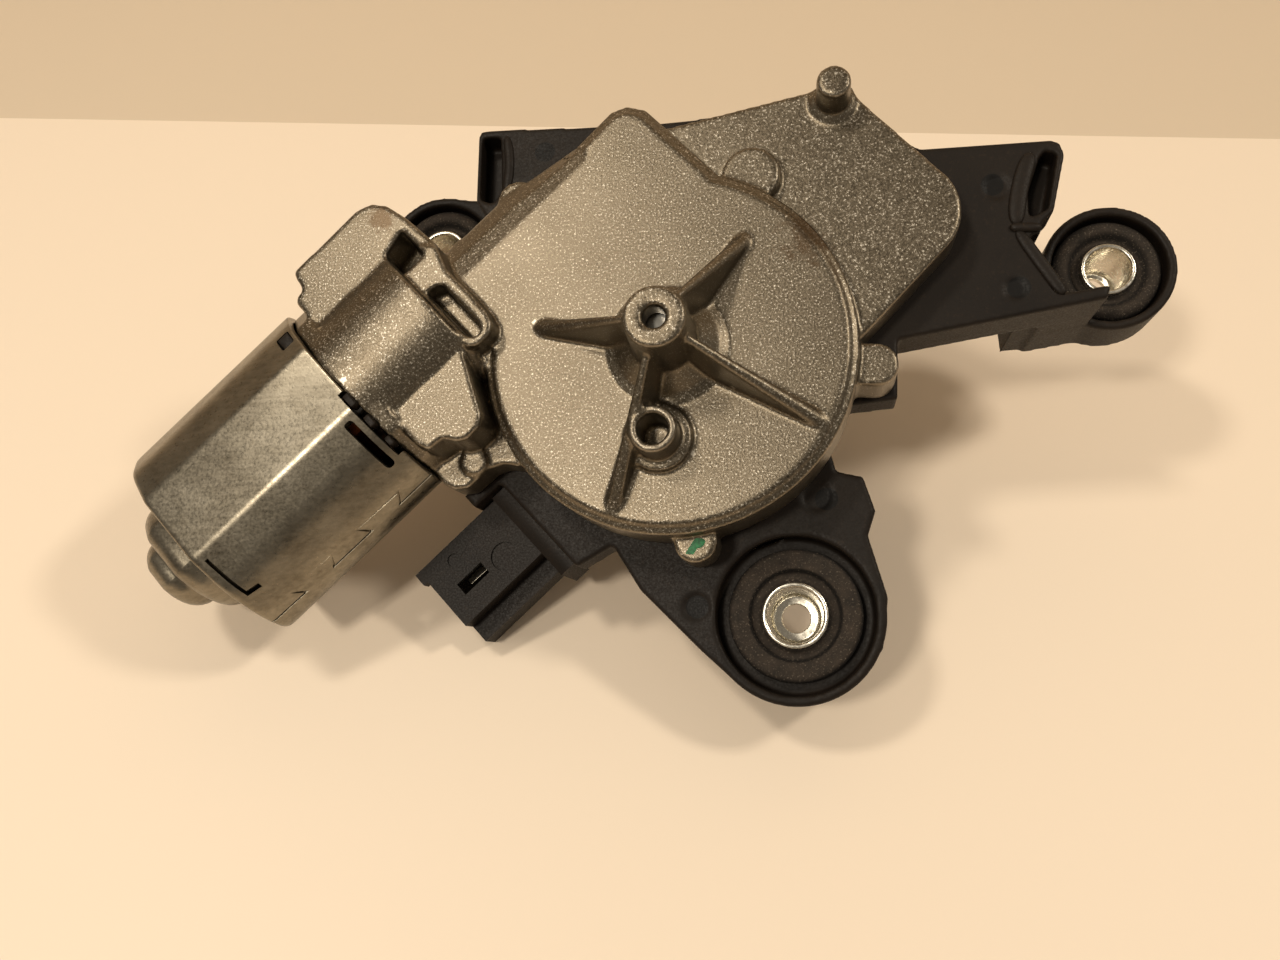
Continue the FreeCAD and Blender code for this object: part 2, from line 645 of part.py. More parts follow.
def bracket_cavities(body, top, low):
    """Room for the linkage, hollows under the plate, pockets, marks and holes."""
    room = bracket_height - bracket_wall
    bore(body, "WheelRoom", 0, 0, chamber_radius - 1.0, top, room, False)
    chamber = inset(SECTOR_CORNERS[:-1] + [(6.0, 6.0)], number(cast_wall))
    recess(body, "SectorRoom", chamber, top, room, False)
    end_x, end_y, end_radius = SECTOR_ROUND
    bore(body, "SectorEndRoom", end_x, end_y, end_radius - cast_wall, top, room, False)
    column_x, column_y = INNER_SCREW
    boss(body, "ScrewColumn", column_x, column_y, screw_radius * 2, low, bracket_height)
    bore(body, "TubeSeat", output_x, output_y, tube_radius, top, 60.0, False)
    left_pocket = [(-47.2, 60.0), (-47.4, 44.0), (-44.0, 43.0), (-42.2, 46.0), (-42.6, 59.8)]
    recess(body, "LeftPocket", left_pocket, top, room, False)
    right_pocket = [(82.4, 46.2), (84.8, 45.4), (82.0, 32.6), (78.0, 30.8), (78.2, 36.8), (81.1, 44.9)]
    recess(body, "RightPocket", right_pocket, top, room, False)
    marks = [(71.6, 38.3, 3.0), (74.1, 14.6, 2.6), (30.2, -30.0, 3.4), (4.0, -53.6, 3.2)]
    bores(body, "Marks", marks, top, 0.5, False)
    hollows = [
        [(58.0, 42.0), (74.0, 42.0), (72.0, 32.0), (66.0, 30.0)],
        [(62.0, 11.0), (73.0, 14.0), (71.5, 27.0), (62.0, 25.0)],
        [(-8.0, -44.0), (8.0, -44.5), (3.0, -56.0)],
        [(12.0, -39.0), (30.0, -33.0), (36.0, -28.0), (36.0, -34.0), (14.0, -36.5 - 5.0)],
        [(-39.0, 58.0), (-14.0, 56.5), (-24.0, 50.0), (-36.0, 47.5)],
    ]
    drawing = sketch_on(body, "HollowsSketch", low)
    for corners in hollows:
        outline(drawing, corners)
    cut(body, "Hollows", drawing, room)
    holes = [(x, y, screw_radius + 0.3) for x, y in screw_places()]
    bores(body, "ScrewHoles", holes, top, bracket_height, False)


def connector():
    """Moulded plug socket and its blade pins, drawn in the line frame."""
    body = new_body("connector_shell")
    slab(body, "Shell", [(-75.2, -8.0), (-75.2, 9.0), (-47.0, 9.0), (-47.0, -8.0)], -35.0, 13.0)
    slab(body, "SideRail", [(-75.2, -12.6), (-75.2, -7.9), (-47.0, -7.9), (-47.0, -12.6)], -35.0, 7.5)
    slab(body, "Collar", [(-51.0, -15.4), (-51.0, 9.0), (-47.0, 9.0), (-47.0, -15.4)], -36.0, 16.0)
    socket = [(-75.2, -6.4), (-75.2, 7.4), (-57.0, 7.4), (-57.0, -6.4)]
    recess(body, "Socket", socket, -33.4, 9.8)
    recess(body, "LatchWindow", [(-70.5, -2.7), (-70.5, 0.5), (-63.0, 0.5), (-63.0, -2.7)], -24.5, 4.0)
    rows = [-5.0 + 2.8 * i for i in range(5)]
    slots = sketch_on(body, "PinSlotsSketch", -28.9)
    for row in rows:
        outline(slots, [(-57.5, row - 0.75), (-52.0, row - 0.75), (-52.0, row + 0.75), (-57.5, row + 0.75)])
    cut(body, "PinSlots", slots, 0.8)
    bore(body, "RoundMark", -57.9, -2.6, 3.4, -22.0, 0.5, False)
    bore(body, "SmallMark", -67.3, 5.2, 1.6, -22.0, 0.4, False)
    slab(body, "LatchRib", [(-76.4, 5.8), (-76.4, 9.0), (-73.0, 9.0), (-73.0, 5.8)], -25.2, 3.2)
    keep(body, "connector_shell", line_frame)
    pins = []
    for row in rows:
        pins.append(Part.makeBox(17.0, 1.5, 0.8, Vector(-69.0, row - 0.75, -28.9)))
    feature = doc.addObject("Part::Feature", "ConnectorPins")
    feature.Shape = Part.makeCompound(pins)
    keep(feature, "connector_pins", line_frame)


def mounting_ears():
    """Rubber grommet and pressed steel sleeve of each ear."""
    for side, (x, y) in EARS.items():
        outside, rubber, sleeve, depth = ear_sizes(side)
        mouth = -depth - 1.4
        web_top = -depth - web_drop
        web_low = web_top - web_thickness
        low = -depth - ear_height - 1.0
        neck = rubber - groove_depth
        dish = rubber - dish_width
        fit = sleeve + 0.03
        profile = [
            (fit, low), (rubber, low), (rubber, web_low - 0.05), (neck, web_low - 0.05), (neck, web_top + 0.05),
            (rubber, web_top + 0.05), (rubber, mouth - 1.2), (rubber - 1.2, mouth), (dish, mouth),
            (dish, mouth - 0.9), (fit, mouth - 0.9),
        ]
        turned("grommet_" + side, profile, at(x, y))
        sleeve_top = mouth + 0.5
        sleeve_low = sleeve_top - sleeve_length
        thin = sleeve - sleeve_wall
        cup = [
            (mount_hole, sleeve_low), (sleeve, sleeve_low), (sleeve, sleeve_top), (thin, sleeve_top),
            (thin, sleeve_low + sleeve_floor), (mount_hole, sleeve_low + sleeve_floor),
        ]
        turned("sleeve_" + side, cup, at(x, y))


def can_parts():
    """Rolled yoke, its end plate with the bearing dome, and the two magnets."""
    body = new_body("motor_can")
    shell = sketch_on(body, "ShellSketch", can_start)
    outline(shell, can_section(0.0))
    outline(shell, can_section(can_wall))
    extrude(body, "Shell", shell, can_length)
    keep(body, "motor_can", motor_frame)

    plate = new_body("can_end_plate")
    sheet_sketch = sketch_on(plate, "PlateSketch", can_end - 2.4)
    outline(sheet_sketch, can_section(can_wall + 0.05))
    extrude(plate, "Plate", sheet_sketch, 2.0)
    dome = sketch_on(plate, "DomeSection", plane="XZ_Plane")
    outline(dome, [
        (6.0, can_end - 2.0), (14.6, can_end - 2.0), (14.6, can_end + 5.0), (12.8, can_end + 7.4),
        (9.2, can_end + 7.4), (9.2, can_end + 11.0), (6.6, can_end + 13.8), (0, can_end + 13.8),
        (0, can_end + 9.6), (6.0, can_end + 9.6),
    ])
    spin = plate.newObject("PartDesign::Revolution", "Dome")
    spin.Profile = dome
    spin.ReferenceAxis = (dome, ["V_Axis"])
    spin.Angle = 360
    room = sketch_on(plate, "BearingRoomSketch", can_end - 2.4)
    disc(room, 0, 0, 6.0)
    cut(plate, "BearingRoom", room, 8.0)
    keep(plate, "can_end_plate", motor_frame)

    inner = core_radius + 0.9
    for label, side in (("magnet_near", 1), ("magnet_far", -1)):
        magnet = new_body(label)
        arc = sketch_on(magnet, label + "Sketch", can_start + 6.0)
        outline(arc, can_section(can_wall + 0.1))
        disc(arc, 0, 0, inner)
        extrude(magnet, label + "Ring", arc, 36.0)
        trim = sketch_on(magnet, label + "Trim", can_start + 5.0)
        outline(trim, [(-side * 60, -60), (side * 9.0, -60), (side * 9.0, 60), (-side * 60, 60)])
        cut(magnet, label + "Cut", trim, 40.0)
        for name, level in (("Upper", 1), ("Lower", -1)):
            limit = sketch_on(magnet, label + name, can_start + 5.0)
            edge = level * 12.0
            outline(limit, [(-60, edge), (60, edge), (60, level * 60), (-60, level * 60)])
            cut(magnet, label + name + "Cut", limit, 40.0)
        keep(magnet, label, motor_frame)


def ring_of_corners(count, radius, level):
    """A closed regular outline about the Z axis."""
    points = []
    for i in range(count):
        angle = 2 * math.pi * i / count
        points.append(Vector(radius * math.cos(angle), radius * math.sin(angle), level))
    return Part.makePolygon(points + points[:1])


def armature():
    """Armature shaft with its rolled worm, core, windings and commutator."""
    pitch = math.pi * number(gear_module)
    root = number(worm_pitch) - number(tooth_reach) - 0.3
    tip = number(worm_pitch) + number(tooth_reach)
    shaft_r = number(motor_shaft_radius)
    half_root = pitch * 0.27
    half_tip = pitch * 0.11
    turns = 3.5
    helix = Part.makeHelix(pitch, turns * pitch, root)
    tooth = Part.makePolygon([
        Vector(root - 0.3, 0, -half_root), Vector(tip, 0, -half_tip), Vector(tip, 0, half_tip),
        Vector(root - 0.3, 0, half_root), Vector(root - 0.3, 0, -half_root),
    ])
    thread = Part.Wire(helix.Edges).makePipeShell([tooth], True, True)
    thread.Placement = Placement(Vector(0, 0, -turns * pitch / 2), Rotation(Vector(0, 0, 1), WORM_PHASE))
    core = Part.makeCylinder(root, 20.0, Vector(0, 0, -10.0))
    front = Part.makeCylinder(3.0, 6.5, Vector(0, 0, -16.5))
    rear = Part.makeCylinder(shaft_r, number(can_end) - 12.0, Vector(0, 0, 10.0))
    tail = Part.makeCylinder(2.5, 10.0, Vector(0, 0, number(can_end) - 2.0))
    solid = core.fuse([front, rear, thread, tail]).removeSplitter()
    feature = doc.addObject("Part::Feature", "ArmatureShaft")
    feature.Shape = solid
    keep(feature, "armature_shaft", motor_frame)

    body = new_body("armature_core")
    start = can_start + 9.0
    laminations = sketch_on(body, "CoreSketch", start)
    disc(laminations, 0, 0, core_radius)
    disc(laminations, 0, 0, motor_shaft_radius + 0.02)
    extrude(body, "Core", laminations, 30.0)
    slot = sketch_on(body, "SlotSketch", start)
    outline(slot, [(9.0, -2.0), (core_radius - 1.6, -3.2), (core_radius - 1.6, -0.9), (core_radius + 1, -0.9),
                   (core_radius + 1, 0.9), (core_radius - 1.6, 0.9), (core_radius - 1.6, 3.2), (9.0, 2.0)])
    first = cut(body, "Slot", slot, 30.0)
    spread = body.newObject("PartDesign::PolarPattern", "Slots")
    spread.Originals = [first]
    spread.Axis = (slot, ["N_Axis"])
    spread.Angle = 360
    spread.Occurrences = 8
    body.Tip = spread
    keep(body, "armature_core", motor_frame)

    ends = []
    for level in (number(start) - 5.2, number(start) + 30.2):
        coil = Part.Face(ring_of_corners(8, 13.2, level)).extrude(Vector(0, 0, 5.0))
        ends.append(coil.cut(Part.makeCylinder(shaft_r + 2.2, 7.0, Vector(0, 0, level - 1.0))))
    windings = doc.addObject("Part::Feature", "Windings")
    windings.Shape = Part.makeCompound(ends)
    keep(windings, "armature_windings", motor_frame)

    drum = new_body("commutator")
    bars = sketch_on(drum, "BarsSketch", 40.0)
    disc(bars, 0, 0, 9.0)
    disc(bars, 0, 0, motor_shaft_radius + 0.02)
    extrude(drum, "Bars", bars, 14.0)
    gap = sketch_on(drum, "GapSketch", 40.0)
    outline(gap, [(7.6, -0.3), (10.0, -0.3), (10.0, 0.3), (7.6, 0.3)])
    split = cut(drum, "Gap", gap, 14.0)
    gaps = drum.newObject("PartDesign::PolarPattern", "Gaps")
    gaps.Originals = [split]
    gaps.Axis = (gap, ["N_Axis"])
    gaps.Angle = 360
    gaps.Occurrences = 8
    drum.Tip = gaps
    keep(drum, "commutator", motor_frame)


WORM_PHASE = 270.0


def motor_fittings():
    """Bearings, thrust pad, brush card, brushes, springs and chokes."""
    ring("rear_bearing", 2.5 + running_gap, 5.95, can_end + 0.6, can_end + 5.4, motor_frame)
    ring("middle_bearing", motor_shaft_radius + running_gap, 5.95, 24.0, 32.0, motor_frame)
    ring("front_bearing", 3.0 + running_gap, 5.4, -16.0, -14.2, motor_frame)
    ring("brush_card", 11.0, neck_radius - 2.4, 42.0, 44.0, motor_frame)
    brushes = []
    springs = []
    chokes = []
    for side in (1, -1):
        brushes.append(Part.makeBox(5.5, 4.0, 5.0, Vector(9.15 if side > 0 else -14.65, -2.0, 44.1)))
        coil_at = Vector(side * 14.75, 0, 46.6)
        spring = Part.makeCylinder(1.5, 1.3, coil_at, Vector(side, 0, 0))
        springs.append(spring.cut(Part.makeCylinder(0.9, 1.3, coil_at, Vector(side, 0, 0))))
        chokes.append(Part.makeCylinder(2.0, 9.0, Vector(side * 4.5, 13.2, 44.1)))
    for label, solids in (("brushes", brushes), ("brush_springs", springs), ("chokes", chokes)):
        feature = doc.addObject("Part::Feature", label.title())
        feature.Shape = Part.makeCompound(solids)
        keep(feature, label, motor_frame)


def gear_outline(teeth, module, root, tip, half_pitch, level, turn):
    """Straight-flanked gear outline as one closed wire."""
    pitch_radius = teeth * module / 2
    slope = math.tan(math.radians(20))
    points = []
    for i in range(teeth):
        middle = 2 * math.pi * i / teeth + turn
        for radius, side in ((root, -1), (tip, -1), (tip, 1), (root, 1)):
            half = half_pitch + (pitch_radius - radius) * slope
            angle = middle + side * half / radius
            points.append(Vector(radius * math.cos(angle), radius * math.sin(angle), level))
    points.append(points[0])
    return Part.makePolygon(points)


def worm_wheel():
    """Moulded wheel with slanted teeth, its crank pin, park disc and axle."""
    teeth = int(number(wheel_teeth))
    module = number(gear_module)
    pitch_radius = number(wheel_pitch)
    tip = pitch_radius + number(tooth_reach)
    root = pitch_radius - number(tooth_reach) - 0.35
    lead = math.atan(module / 2 / number(worm_pitch))
    turn = math.tan(lead) * number(wheel_width) / 2 / pitch_radius
    half_tooth = math.pi * module / 2 * 0.42
    mesh = math.radians(number(motor_angle) + 90.0)
    low = gear_outline(teeth, module, root, tip, half_tooth, number(wheel_bottom), mesh - turn)
    high = gear_outline(teeth, module, root, tip, half_tooth, number(wheel_top), mesh + turn)
    rim = Part.makeLoft([low, high], True, True)
    axle_hole = Part.makeCylinder(number(axle_radius) + number(running_gap), 30.0, Vector(0, 0, -25.0))
    inner_radius = root - 4.0
    hub_outer = 10.0
    dish = Part.makeCylinder(inner_radius, 3.0, Vector(0, 0, number(wheel_top) - 3.0))
    dish = dish.cut(Part.makeCylinder(hub_outer, 3.0, Vector(0, 0, number(wheel_top) - 3.0)))
    hub = Part.makeCylinder(7.0, 1.9, Vector(0, 0, number(wheel_top)))
    pin_place = Vector(crank_throw, 0, 0)
    pin_place = Rotation(Vector(0, 0, 1), rod_direction).multVec(pin_place)
    pin_base = Vector(pin_place.x, pin_place.y, number(wheel_bottom))
    pin_hole = Part.makeCylinder(number(crank_pin_radius) + 0.02, 4.5, pin_base)
    feature = doc.addObject("Part::Feature", "WormWheel")
    feature.Shape = rim.cut(dish).fuse(hub).cut(axle_hole).cut(pin_hole)
    keep(feature, "worm_wheel", at(0, 0))
    profile = [(0, wheel_bottom - 1.3), (crank_pin_radius, wheel_bottom - 1.3), (crank_pin_radius, wheel_bottom + 4.4),
               (0, wheel_bottom + 4.4)]
    turned("crank_pin", profile, at(pin_place.x, pin_place.y))
    ring("park_disc", hub_outer + 0.5, hub_outer + 9.0, wheel_top - 3.0, wheel_top - 2.5, at(0, 0))
    ring("wheel_washer", axle_radius + running_gap, 6.8, -roof_wall - 0.55, -roof_wall - 0.1, at(0, 0))
    axle = [(0, wheel_bottom - 0.9), (axle_radius - 0.6, wheel_bottom - 0.9), (axle_radius - 0.6, wheel_bottom - 0.15),
            (axle_radius, wheel_bottom - 0.15), (axle_radius, 13.6), (0, 13.6)]
    turned("wheel_axle", axle, at(0, 0))
    ring("axle_clip", axle_radius - 0.6, axle_radius + 2.0, wheel_bottom - 0.85, wheel_bottom - 0.2, at(0, 0))


def linkage():
    """Rocker link, sector rod and its pivot pin."""
    pivot_x = rest_pivot.x
    pivot_y = rest_pivot.y
    centre = Vector(number(output_x), number(output_y), 0)
    back = math.atan2(centre.y - pivot_y, centre.x - pivot_x)
    module = number(sector_module)
    teeth = int(number(sector_teeth))
    pitch_radius = number(sector_pitch)
    wire = gear_outline(teeth, module, pitch_radius - 1.75, pitch_radius + 1.2, math.pi * module / 4 * 0.86, 0.0,
                        back + math.pi / teeth)
    gear = Part.Face(wire).extrude(Vector(0, 0, number(rod_thickness)))
    reach = pitch_radius + 4.0
    spread = [math.radians(30.0), math.radians(-58.0)]
    wedge = [Vector(0, 0, 0)]
    for i in range(5):
        angle = back + spread[0] + (spread[1] - spread[0]) * i / 4
        wedge.append(Vector(reach * math.cos(angle) * 1.1, reach * math.sin(angle) * 1.1, 0))
    wedge.append(wedge[0])
    fan = Part.Face(Part.makePolygon(wedge)).extrude(Vector(0, 0, number(rod_thickness)))
    sector = gear.common(fan)
    hub = Part.makeCylinder(6.0, number(rod_thickness))
    eye_at = Vector(-rod_length, 0, 0)
    arm = Part.makeBox(rod_length, 8.0, number(rod_thickness), Vector(-rod_length, -4.0, 0))
    eye = Part.makeCylinder(5.5, number(rod_thickness), eye_at)
    rod = arm.fuse(eye)
    rod.Placement = Placement(Vector(0, 0, 0), Rotation(Vector(0, 0, 1), rod_direction))
    rod = rod.fuse([hub, sector])
    rod = rod.cut(Part.makeCylinder(number(pivot_radius) + number(running_gap), 20.0, Vector(0, 0, -5.0)))
    feature = doc.addObject("Part::Feature", "SectorRod")
    feature.Shape = rod
    keep(feature, "sector_rod", at(pivot_x, pivot_y, rod_bottom))

    link = new_body("rocker_link")
    turn = math.atan2(pivot_y - centre.y, pivot_x - centre.x)
    side = Vector(-math.sin(turn), math.cos(turn), 0) * 6.0
    corners = []
    for end, sign in (((0, 0), 1), ((0, 0), -1), ((pivot_x - centre.x, pivot_y - centre.y), -1),
                      ((pivot_x - centre.x, pivot_y - centre.y), 1)):
        corners.append((end[0] + side.x * sign, end[1] + side.y * sign))
    slab(link, "LinkBar", corners, link_bottom, link_thickness)
    boss(link, "OutputEye", 0, 0, 8.0, link_bottom, link_thickness)
    boss(link, "PivotEye", pivot_x - centre.x, pivot_y - centre.y, 6.0, link_bottom, link_thickness)
    bore(link, "OutputBore", 0, 0, shaft_radius + running_gap, link_bottom, link_thickness)
    bore(link, "PivotBore", pivot_x - centre.x, pivot_y - centre.y, pivot_radius, link_bottom, link_thickness)
    keep(link, "rocker_link", at(output_x, output_y))
    pin = [(0, link_bottom - 0.8), (pivot_radius + 1.6, link_bottom - 0.8), (pivot_radius + 1.6, link_bottom),
           (pivot_radius, link_bottom), (pivot_radius, rod_top + 0.9), (0, rod_top + 0.9)]
    turned("rod_pivot_pin", pin, at(pivot_x, pivot_y))


def output_parts():
    """Output shaft, pinion, tube, bushes, seal and clip."""
    teeth = int(number(pinion_teeth))
    module = number(sector_module)
    pitch_radius = number(pinion_pitch)
    mesh = math.atan2(rest_pivot.y - number(output_y), rest_pivot.x - number(output_x))
    wire = gear_outline(teeth, module, pitch_radius - 1.75, pitch_radius + 1.2, math.pi * module / 4 * 0.86, 0.0, mesh)
    gear = Part.Face(wire).extrude(Vector(0, 0, number(rod_thickness) + 0.4))
    gear = gear.cut(Part.makeCylinder(number(shaft_radius) + 0.02, 20.0, Vector(0, 0, -5.0)))
    feature = doc.addObject("Part::Feature", "OutputPinion")
    feature.Shape = gear
    keep(feature, "output_pinion", at(output_x, output_y, rod_bottom - 0.1))
    place = at(output_x, output_y)
    top = -sector_drop - 0.9 + 1.5
    neck = 3.0
    end = -shaft_end_depth
    profile = [
        (0, end), (3.4, end), (4.0, end + 0.8), (4.0, end + 12.0), (4.4, end + 12.0), (shaft_radius, end + 19.0),
        (shaft_radius, rod_top + 0.2), (neck, rod_top + 0.2), (neck, top - 1.0), (0, top - 1.0),
    ]
    turned("output_shaft", profile, place)
    ring("upper_output_bush", neck + running_gap, 4.35, -12.0, -6.0, place)
    tube_top = tray_floor - 0.1
    tube_low = -tube_end_depth
    tube = [(tube_bore, tube_low), (tube_radius - 0.05, tube_low), (tube_radius - 0.05, tube_top),
            (tube_bore, tube_top)]
    turned("output_tube", tube, place)
    inner = shaft_radius + running_gap
    ring("inner_output_bush", inner, tube_bore, tube_top - bush_length, tube_top - 0.1, place)
    ring("outer_output_bush", inner, tube_bore, tube_low + 3.2, tube_low + 3.2 + bush_length, place)
    ring("shaft_seal", inner + 0.05, tube_bore, tube_low + 0.4, tube_low + 2.8, place)
    ring("shaft_washer", inner, 7.6, tube_low - 1.2, tube_low - 0.4, place)
    ring("shaft_clip", shaft_radius + 0.01, 6.6, tube_low - 2.4, tube_low - 1.4, place)


def cover_screws():
    """Screws that hold the bracket to the housing, heads underneath."""
    low = -number(parting_depth) - number(bracket_height)
    solids = []
    for x, y in screw_places():
        head = Part.Face(ring_of_corners(6, 4.0, low - 2.6)).extrude(Vector(0, 0, 2.6))
        head.translate(Vector(x, y, 0))
        shank = Part.makeCylinder(number(screw_radius), number(bracket_height) + 10.0, Vector(x, y, low))
        solids.append(head.fuse(shank))
    feature = doc.addObject("Part::Feature", "CoverScrews")
    feature.Shape = Part.makeCompound(solids)
    keep(feature, "cover_screws", at(0, 0))


gear_housing()
bracket_cover()
connector()
mounting_ears()
can_parts()
armature()
motor_fittings()
worm_wheel()
linkage()
output_parts()
cover_screws()

# The bench plane touches the can's rear underside, the lower ear and the shaft end.
can_touch = along_motor(number(can_end), 0.0, -number(can_half_height))
ear_x, ear_y = EARS["lower"]
ear_touch = Vector(ear_x, ear_y - number(low_ear_radius), -number(parting_depth) - number(ear_height))
shaft_touch = Vector(number(output_x), number(output_y), -number(shaft_end_depth))
bench_up = (ear_touch - can_touch).cross(shaft_touch - can_touch).normalize()
bench_x = (Vector(1, 0, 0) - bench_up * bench_up.x).normalize()
bench_y = bench_up.cross(bench_x)
bench_turn = Rotation(bench_x, bench_y, bench_up, "XYZ").inverted()

doc.recompute()
bench = Placement(Vector(0, 0, 0), bench_turn)
for thing, frame in sub_parts:
    thing.Placement = bench.multiply(frame)
doc.recompute()
box = FreeCAD.BoundBox()
for thing, frame in sub_parts:
    box.add(thing.Shape.BoundBox)
shift = Vector(-box.Center.x, -box.Center.y, -box.ZMin)
for thing, frame in sub_parts:
    thing.Placement = Placement(shift, Rotation()).multiply(thing.Placement)
doc.recompute()

for thing in doc.Objects:
    for state in ("Invalid", "Error"):
        if state in thing.State:
            raise RuntimeError("%s is %s" % (thing.Label, state))
for thing, frame in sub_parts:
    if thing.Shape.isNull() or not thing.Shape.isValid():
        raise RuntimeError("%s has no valid shape" % thing.Label)

os.makedirs("parts", exist_ok=True)
for thing, frame in sub_parts:
    thing.Shape.exportStep("parts/%s.step" % thing.Label)
    print(thing.Label, len(thing.Shape.Solids), round(thing.Shape.Volume, 1))
print("size", round(box.XLength, 1), round(box.YLength, 1), round(box.ZLength, 1))
print("shift", shift, "crank throw", round(crank_throw, 3), "rod", round(rod_length, 3))
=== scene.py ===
import json
import math

import bmesh
import bpy
import numpy as np
from mathutils import Matrix, Vector


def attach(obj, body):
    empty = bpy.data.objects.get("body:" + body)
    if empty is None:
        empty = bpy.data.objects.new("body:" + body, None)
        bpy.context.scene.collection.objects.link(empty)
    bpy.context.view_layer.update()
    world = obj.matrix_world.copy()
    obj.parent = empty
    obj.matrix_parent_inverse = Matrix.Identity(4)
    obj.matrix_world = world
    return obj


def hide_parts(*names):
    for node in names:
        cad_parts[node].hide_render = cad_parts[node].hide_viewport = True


bl_info = {
    "name": "Rear wiper motor",
    "version": (1, 0, 0),
    "blender": (4, 5, 0),
    "location": "View3D > Sidebar > Wiper motor",
    "description": "Finished surfaces for a die-cast wiper gear motor and its bracket",
    "category": "Object",
}

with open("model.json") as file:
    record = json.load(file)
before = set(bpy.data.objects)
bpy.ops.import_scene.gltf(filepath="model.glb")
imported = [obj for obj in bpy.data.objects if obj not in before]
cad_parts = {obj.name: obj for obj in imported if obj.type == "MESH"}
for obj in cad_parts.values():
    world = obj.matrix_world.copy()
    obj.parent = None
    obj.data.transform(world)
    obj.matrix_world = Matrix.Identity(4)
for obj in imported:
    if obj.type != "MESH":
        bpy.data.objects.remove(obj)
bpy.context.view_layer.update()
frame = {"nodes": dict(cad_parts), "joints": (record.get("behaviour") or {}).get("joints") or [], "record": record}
nodes = frame["nodes"]

MM = 0.001
FULL_TURN = 2 * math.pi

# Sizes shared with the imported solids, in millimetres
WHEEL_DEPTH = 9.0
WORM_DEPTH = 9.0
AXIS_DISTANCE = 43.5
MOTOR_ANGLE = math.radians(43.0)
OUTPUT_PLACE = (18.1, 39.0)
CAN_HALF_WIDTH = 27.0
CAN_HALF_HEIGHT = 19.0
CAN_WALL = 1.8
CAN_START = 55.5
CAN_END = 103.0
BRACKET_TOP = -17.0
LUG_TOP = -5.0
SHAFT_END = -85.0
SHAFT_RADIUS = 5.0
SLEEVE_FLOOR = 1.6
SLEEVE_LENGTH = 17.0
SCREW_HOLE = 3.2
# Outer radius of the rubber and of the sleeve in each ear
EAR_SIZES = {"right": (12.3, 6.2), "left": (12.3, 6.2), "lower": (14.4, 7.1)}

# Angles in degrees past which an edge stays sharp
PIECE_CREASE = 38.0
CAN_CREASE = 30.0
SHELL_CREASE = 60.0
SOCKET_CREASE = 15.0


# Frames

def casting_frame():
    """Matrix from casting millimetres to metres: origin on the wheel's axis in the cover face, Z out of it.

    The wheel's joint gives the origin and the Z axis. The link's joint gives a second point, whose
    direction from the X axis is known.
    """
    joints = {joint["name"]: joint for joint in frame["joints"]}
    up = Vector(joints["wheel_turn"]["axis"]).normalized()
    origin = Vector(joints["wheel_turn"]["pos_m"]) + up * WHEEL_DEPTH * MM
    toward = Vector(joints["link_swing"]["pos_m"]) - origin
    toward -= up * toward.dot(up)
    toward.normalize()
    turn = math.atan2(OUTPUT_PLACE[1], OUTPUT_PLACE[0])
    x_axis = toward * math.cos(turn) - up.cross(toward) * math.sin(turn)
    turned = Matrix((x_axis, up.cross(x_axis), up)).transposed().to_4x4()
    return Matrix.Translation(origin) @ turned @ Matrix.Scale(MM, 4)


CASTING = casting_frame()


def motor_frame():
    """Matrix from motor millimetres to metres: Z to the back of the can, Y out of the cover face."""
    toward_can = Vector((-math.cos(MOTOR_ANGLE), -math.sin(MOTOR_ANGLE), 0.0))
    outward = Vector((0.0, 0.0, 1.0))
    toward_wheel = outward.cross(toward_can)
    turned = Matrix((toward_wheel, outward, toward_can)).transposed().to_4x4()
    return CASTING @ Matrix.Translation(toward_wheel * -AXIS_DISTANCE + outward * -WORM_DEPTH) @ turned


MOTOR = motor_frame()


def ear_frame(side):
    """Matrix of an ear: origin on its axis at the top of its sleeve, Z out of the casting."""
    mounts = {mount["name"]: mount for mount in frame["record"]["mounts"]}
    hole = CASTING.inverted() @ Vector(mounts["sleeve_hole_" + side]["pos_m"])
    return CASTING @ Matrix.Translation(hole + Vector((0, 0, SLEEVE_LENGTH - SLEEVE_FLOOR / 2)))


# Colours and nodes

def linear(hex_colour):
    """Linear RGBA of an sRGB hex colour."""
    channels = [int(hex_colour[i:i + 2], 16) / 255.0 for i in (1, 3, 5)]
    return [c / 12.92 if c <= 0.04045 else ((c + 0.055) / 1.055) ** 2.4 for c in channels] + [1.0]


def add_node(tree, kind, *values, output=None, stops=(), **settings):
    """Add a node and give its named output, or else the first one in use.

    The values go to the inputs in use, in their order: a plain value, a hex colour, the output of
    another node, or None to leave the input as it is. The stops are the positions and hex colours of
    a colour ramp.
    """
    node = tree.nodes.new("ShaderNode" + kind)
    for key, value in settings.items():
        setattr(node, key, value)
    inputs = [socket for socket in node.inputs if socket.enabled]
    for socket, value in zip(inputs, values):
        if isinstance(value, bpy.types.NodeSocket):
            tree.links.new(value, socket)
        elif isinstance(value, str):
            socket.default_value = linear(value)
        elif value is not None:
            socket.default_value = value
    if stops:
        ends = node.color_ramp.elements
        while len(ends) < len(stops):
            ends.new(0.5)
        for end, (position, colour) in zip(ends, stops):
            end.position = position
            end.color = linear(colour)
    return node.outputs[output] if output else next(socket for socket in node.outputs if socket.enabled)


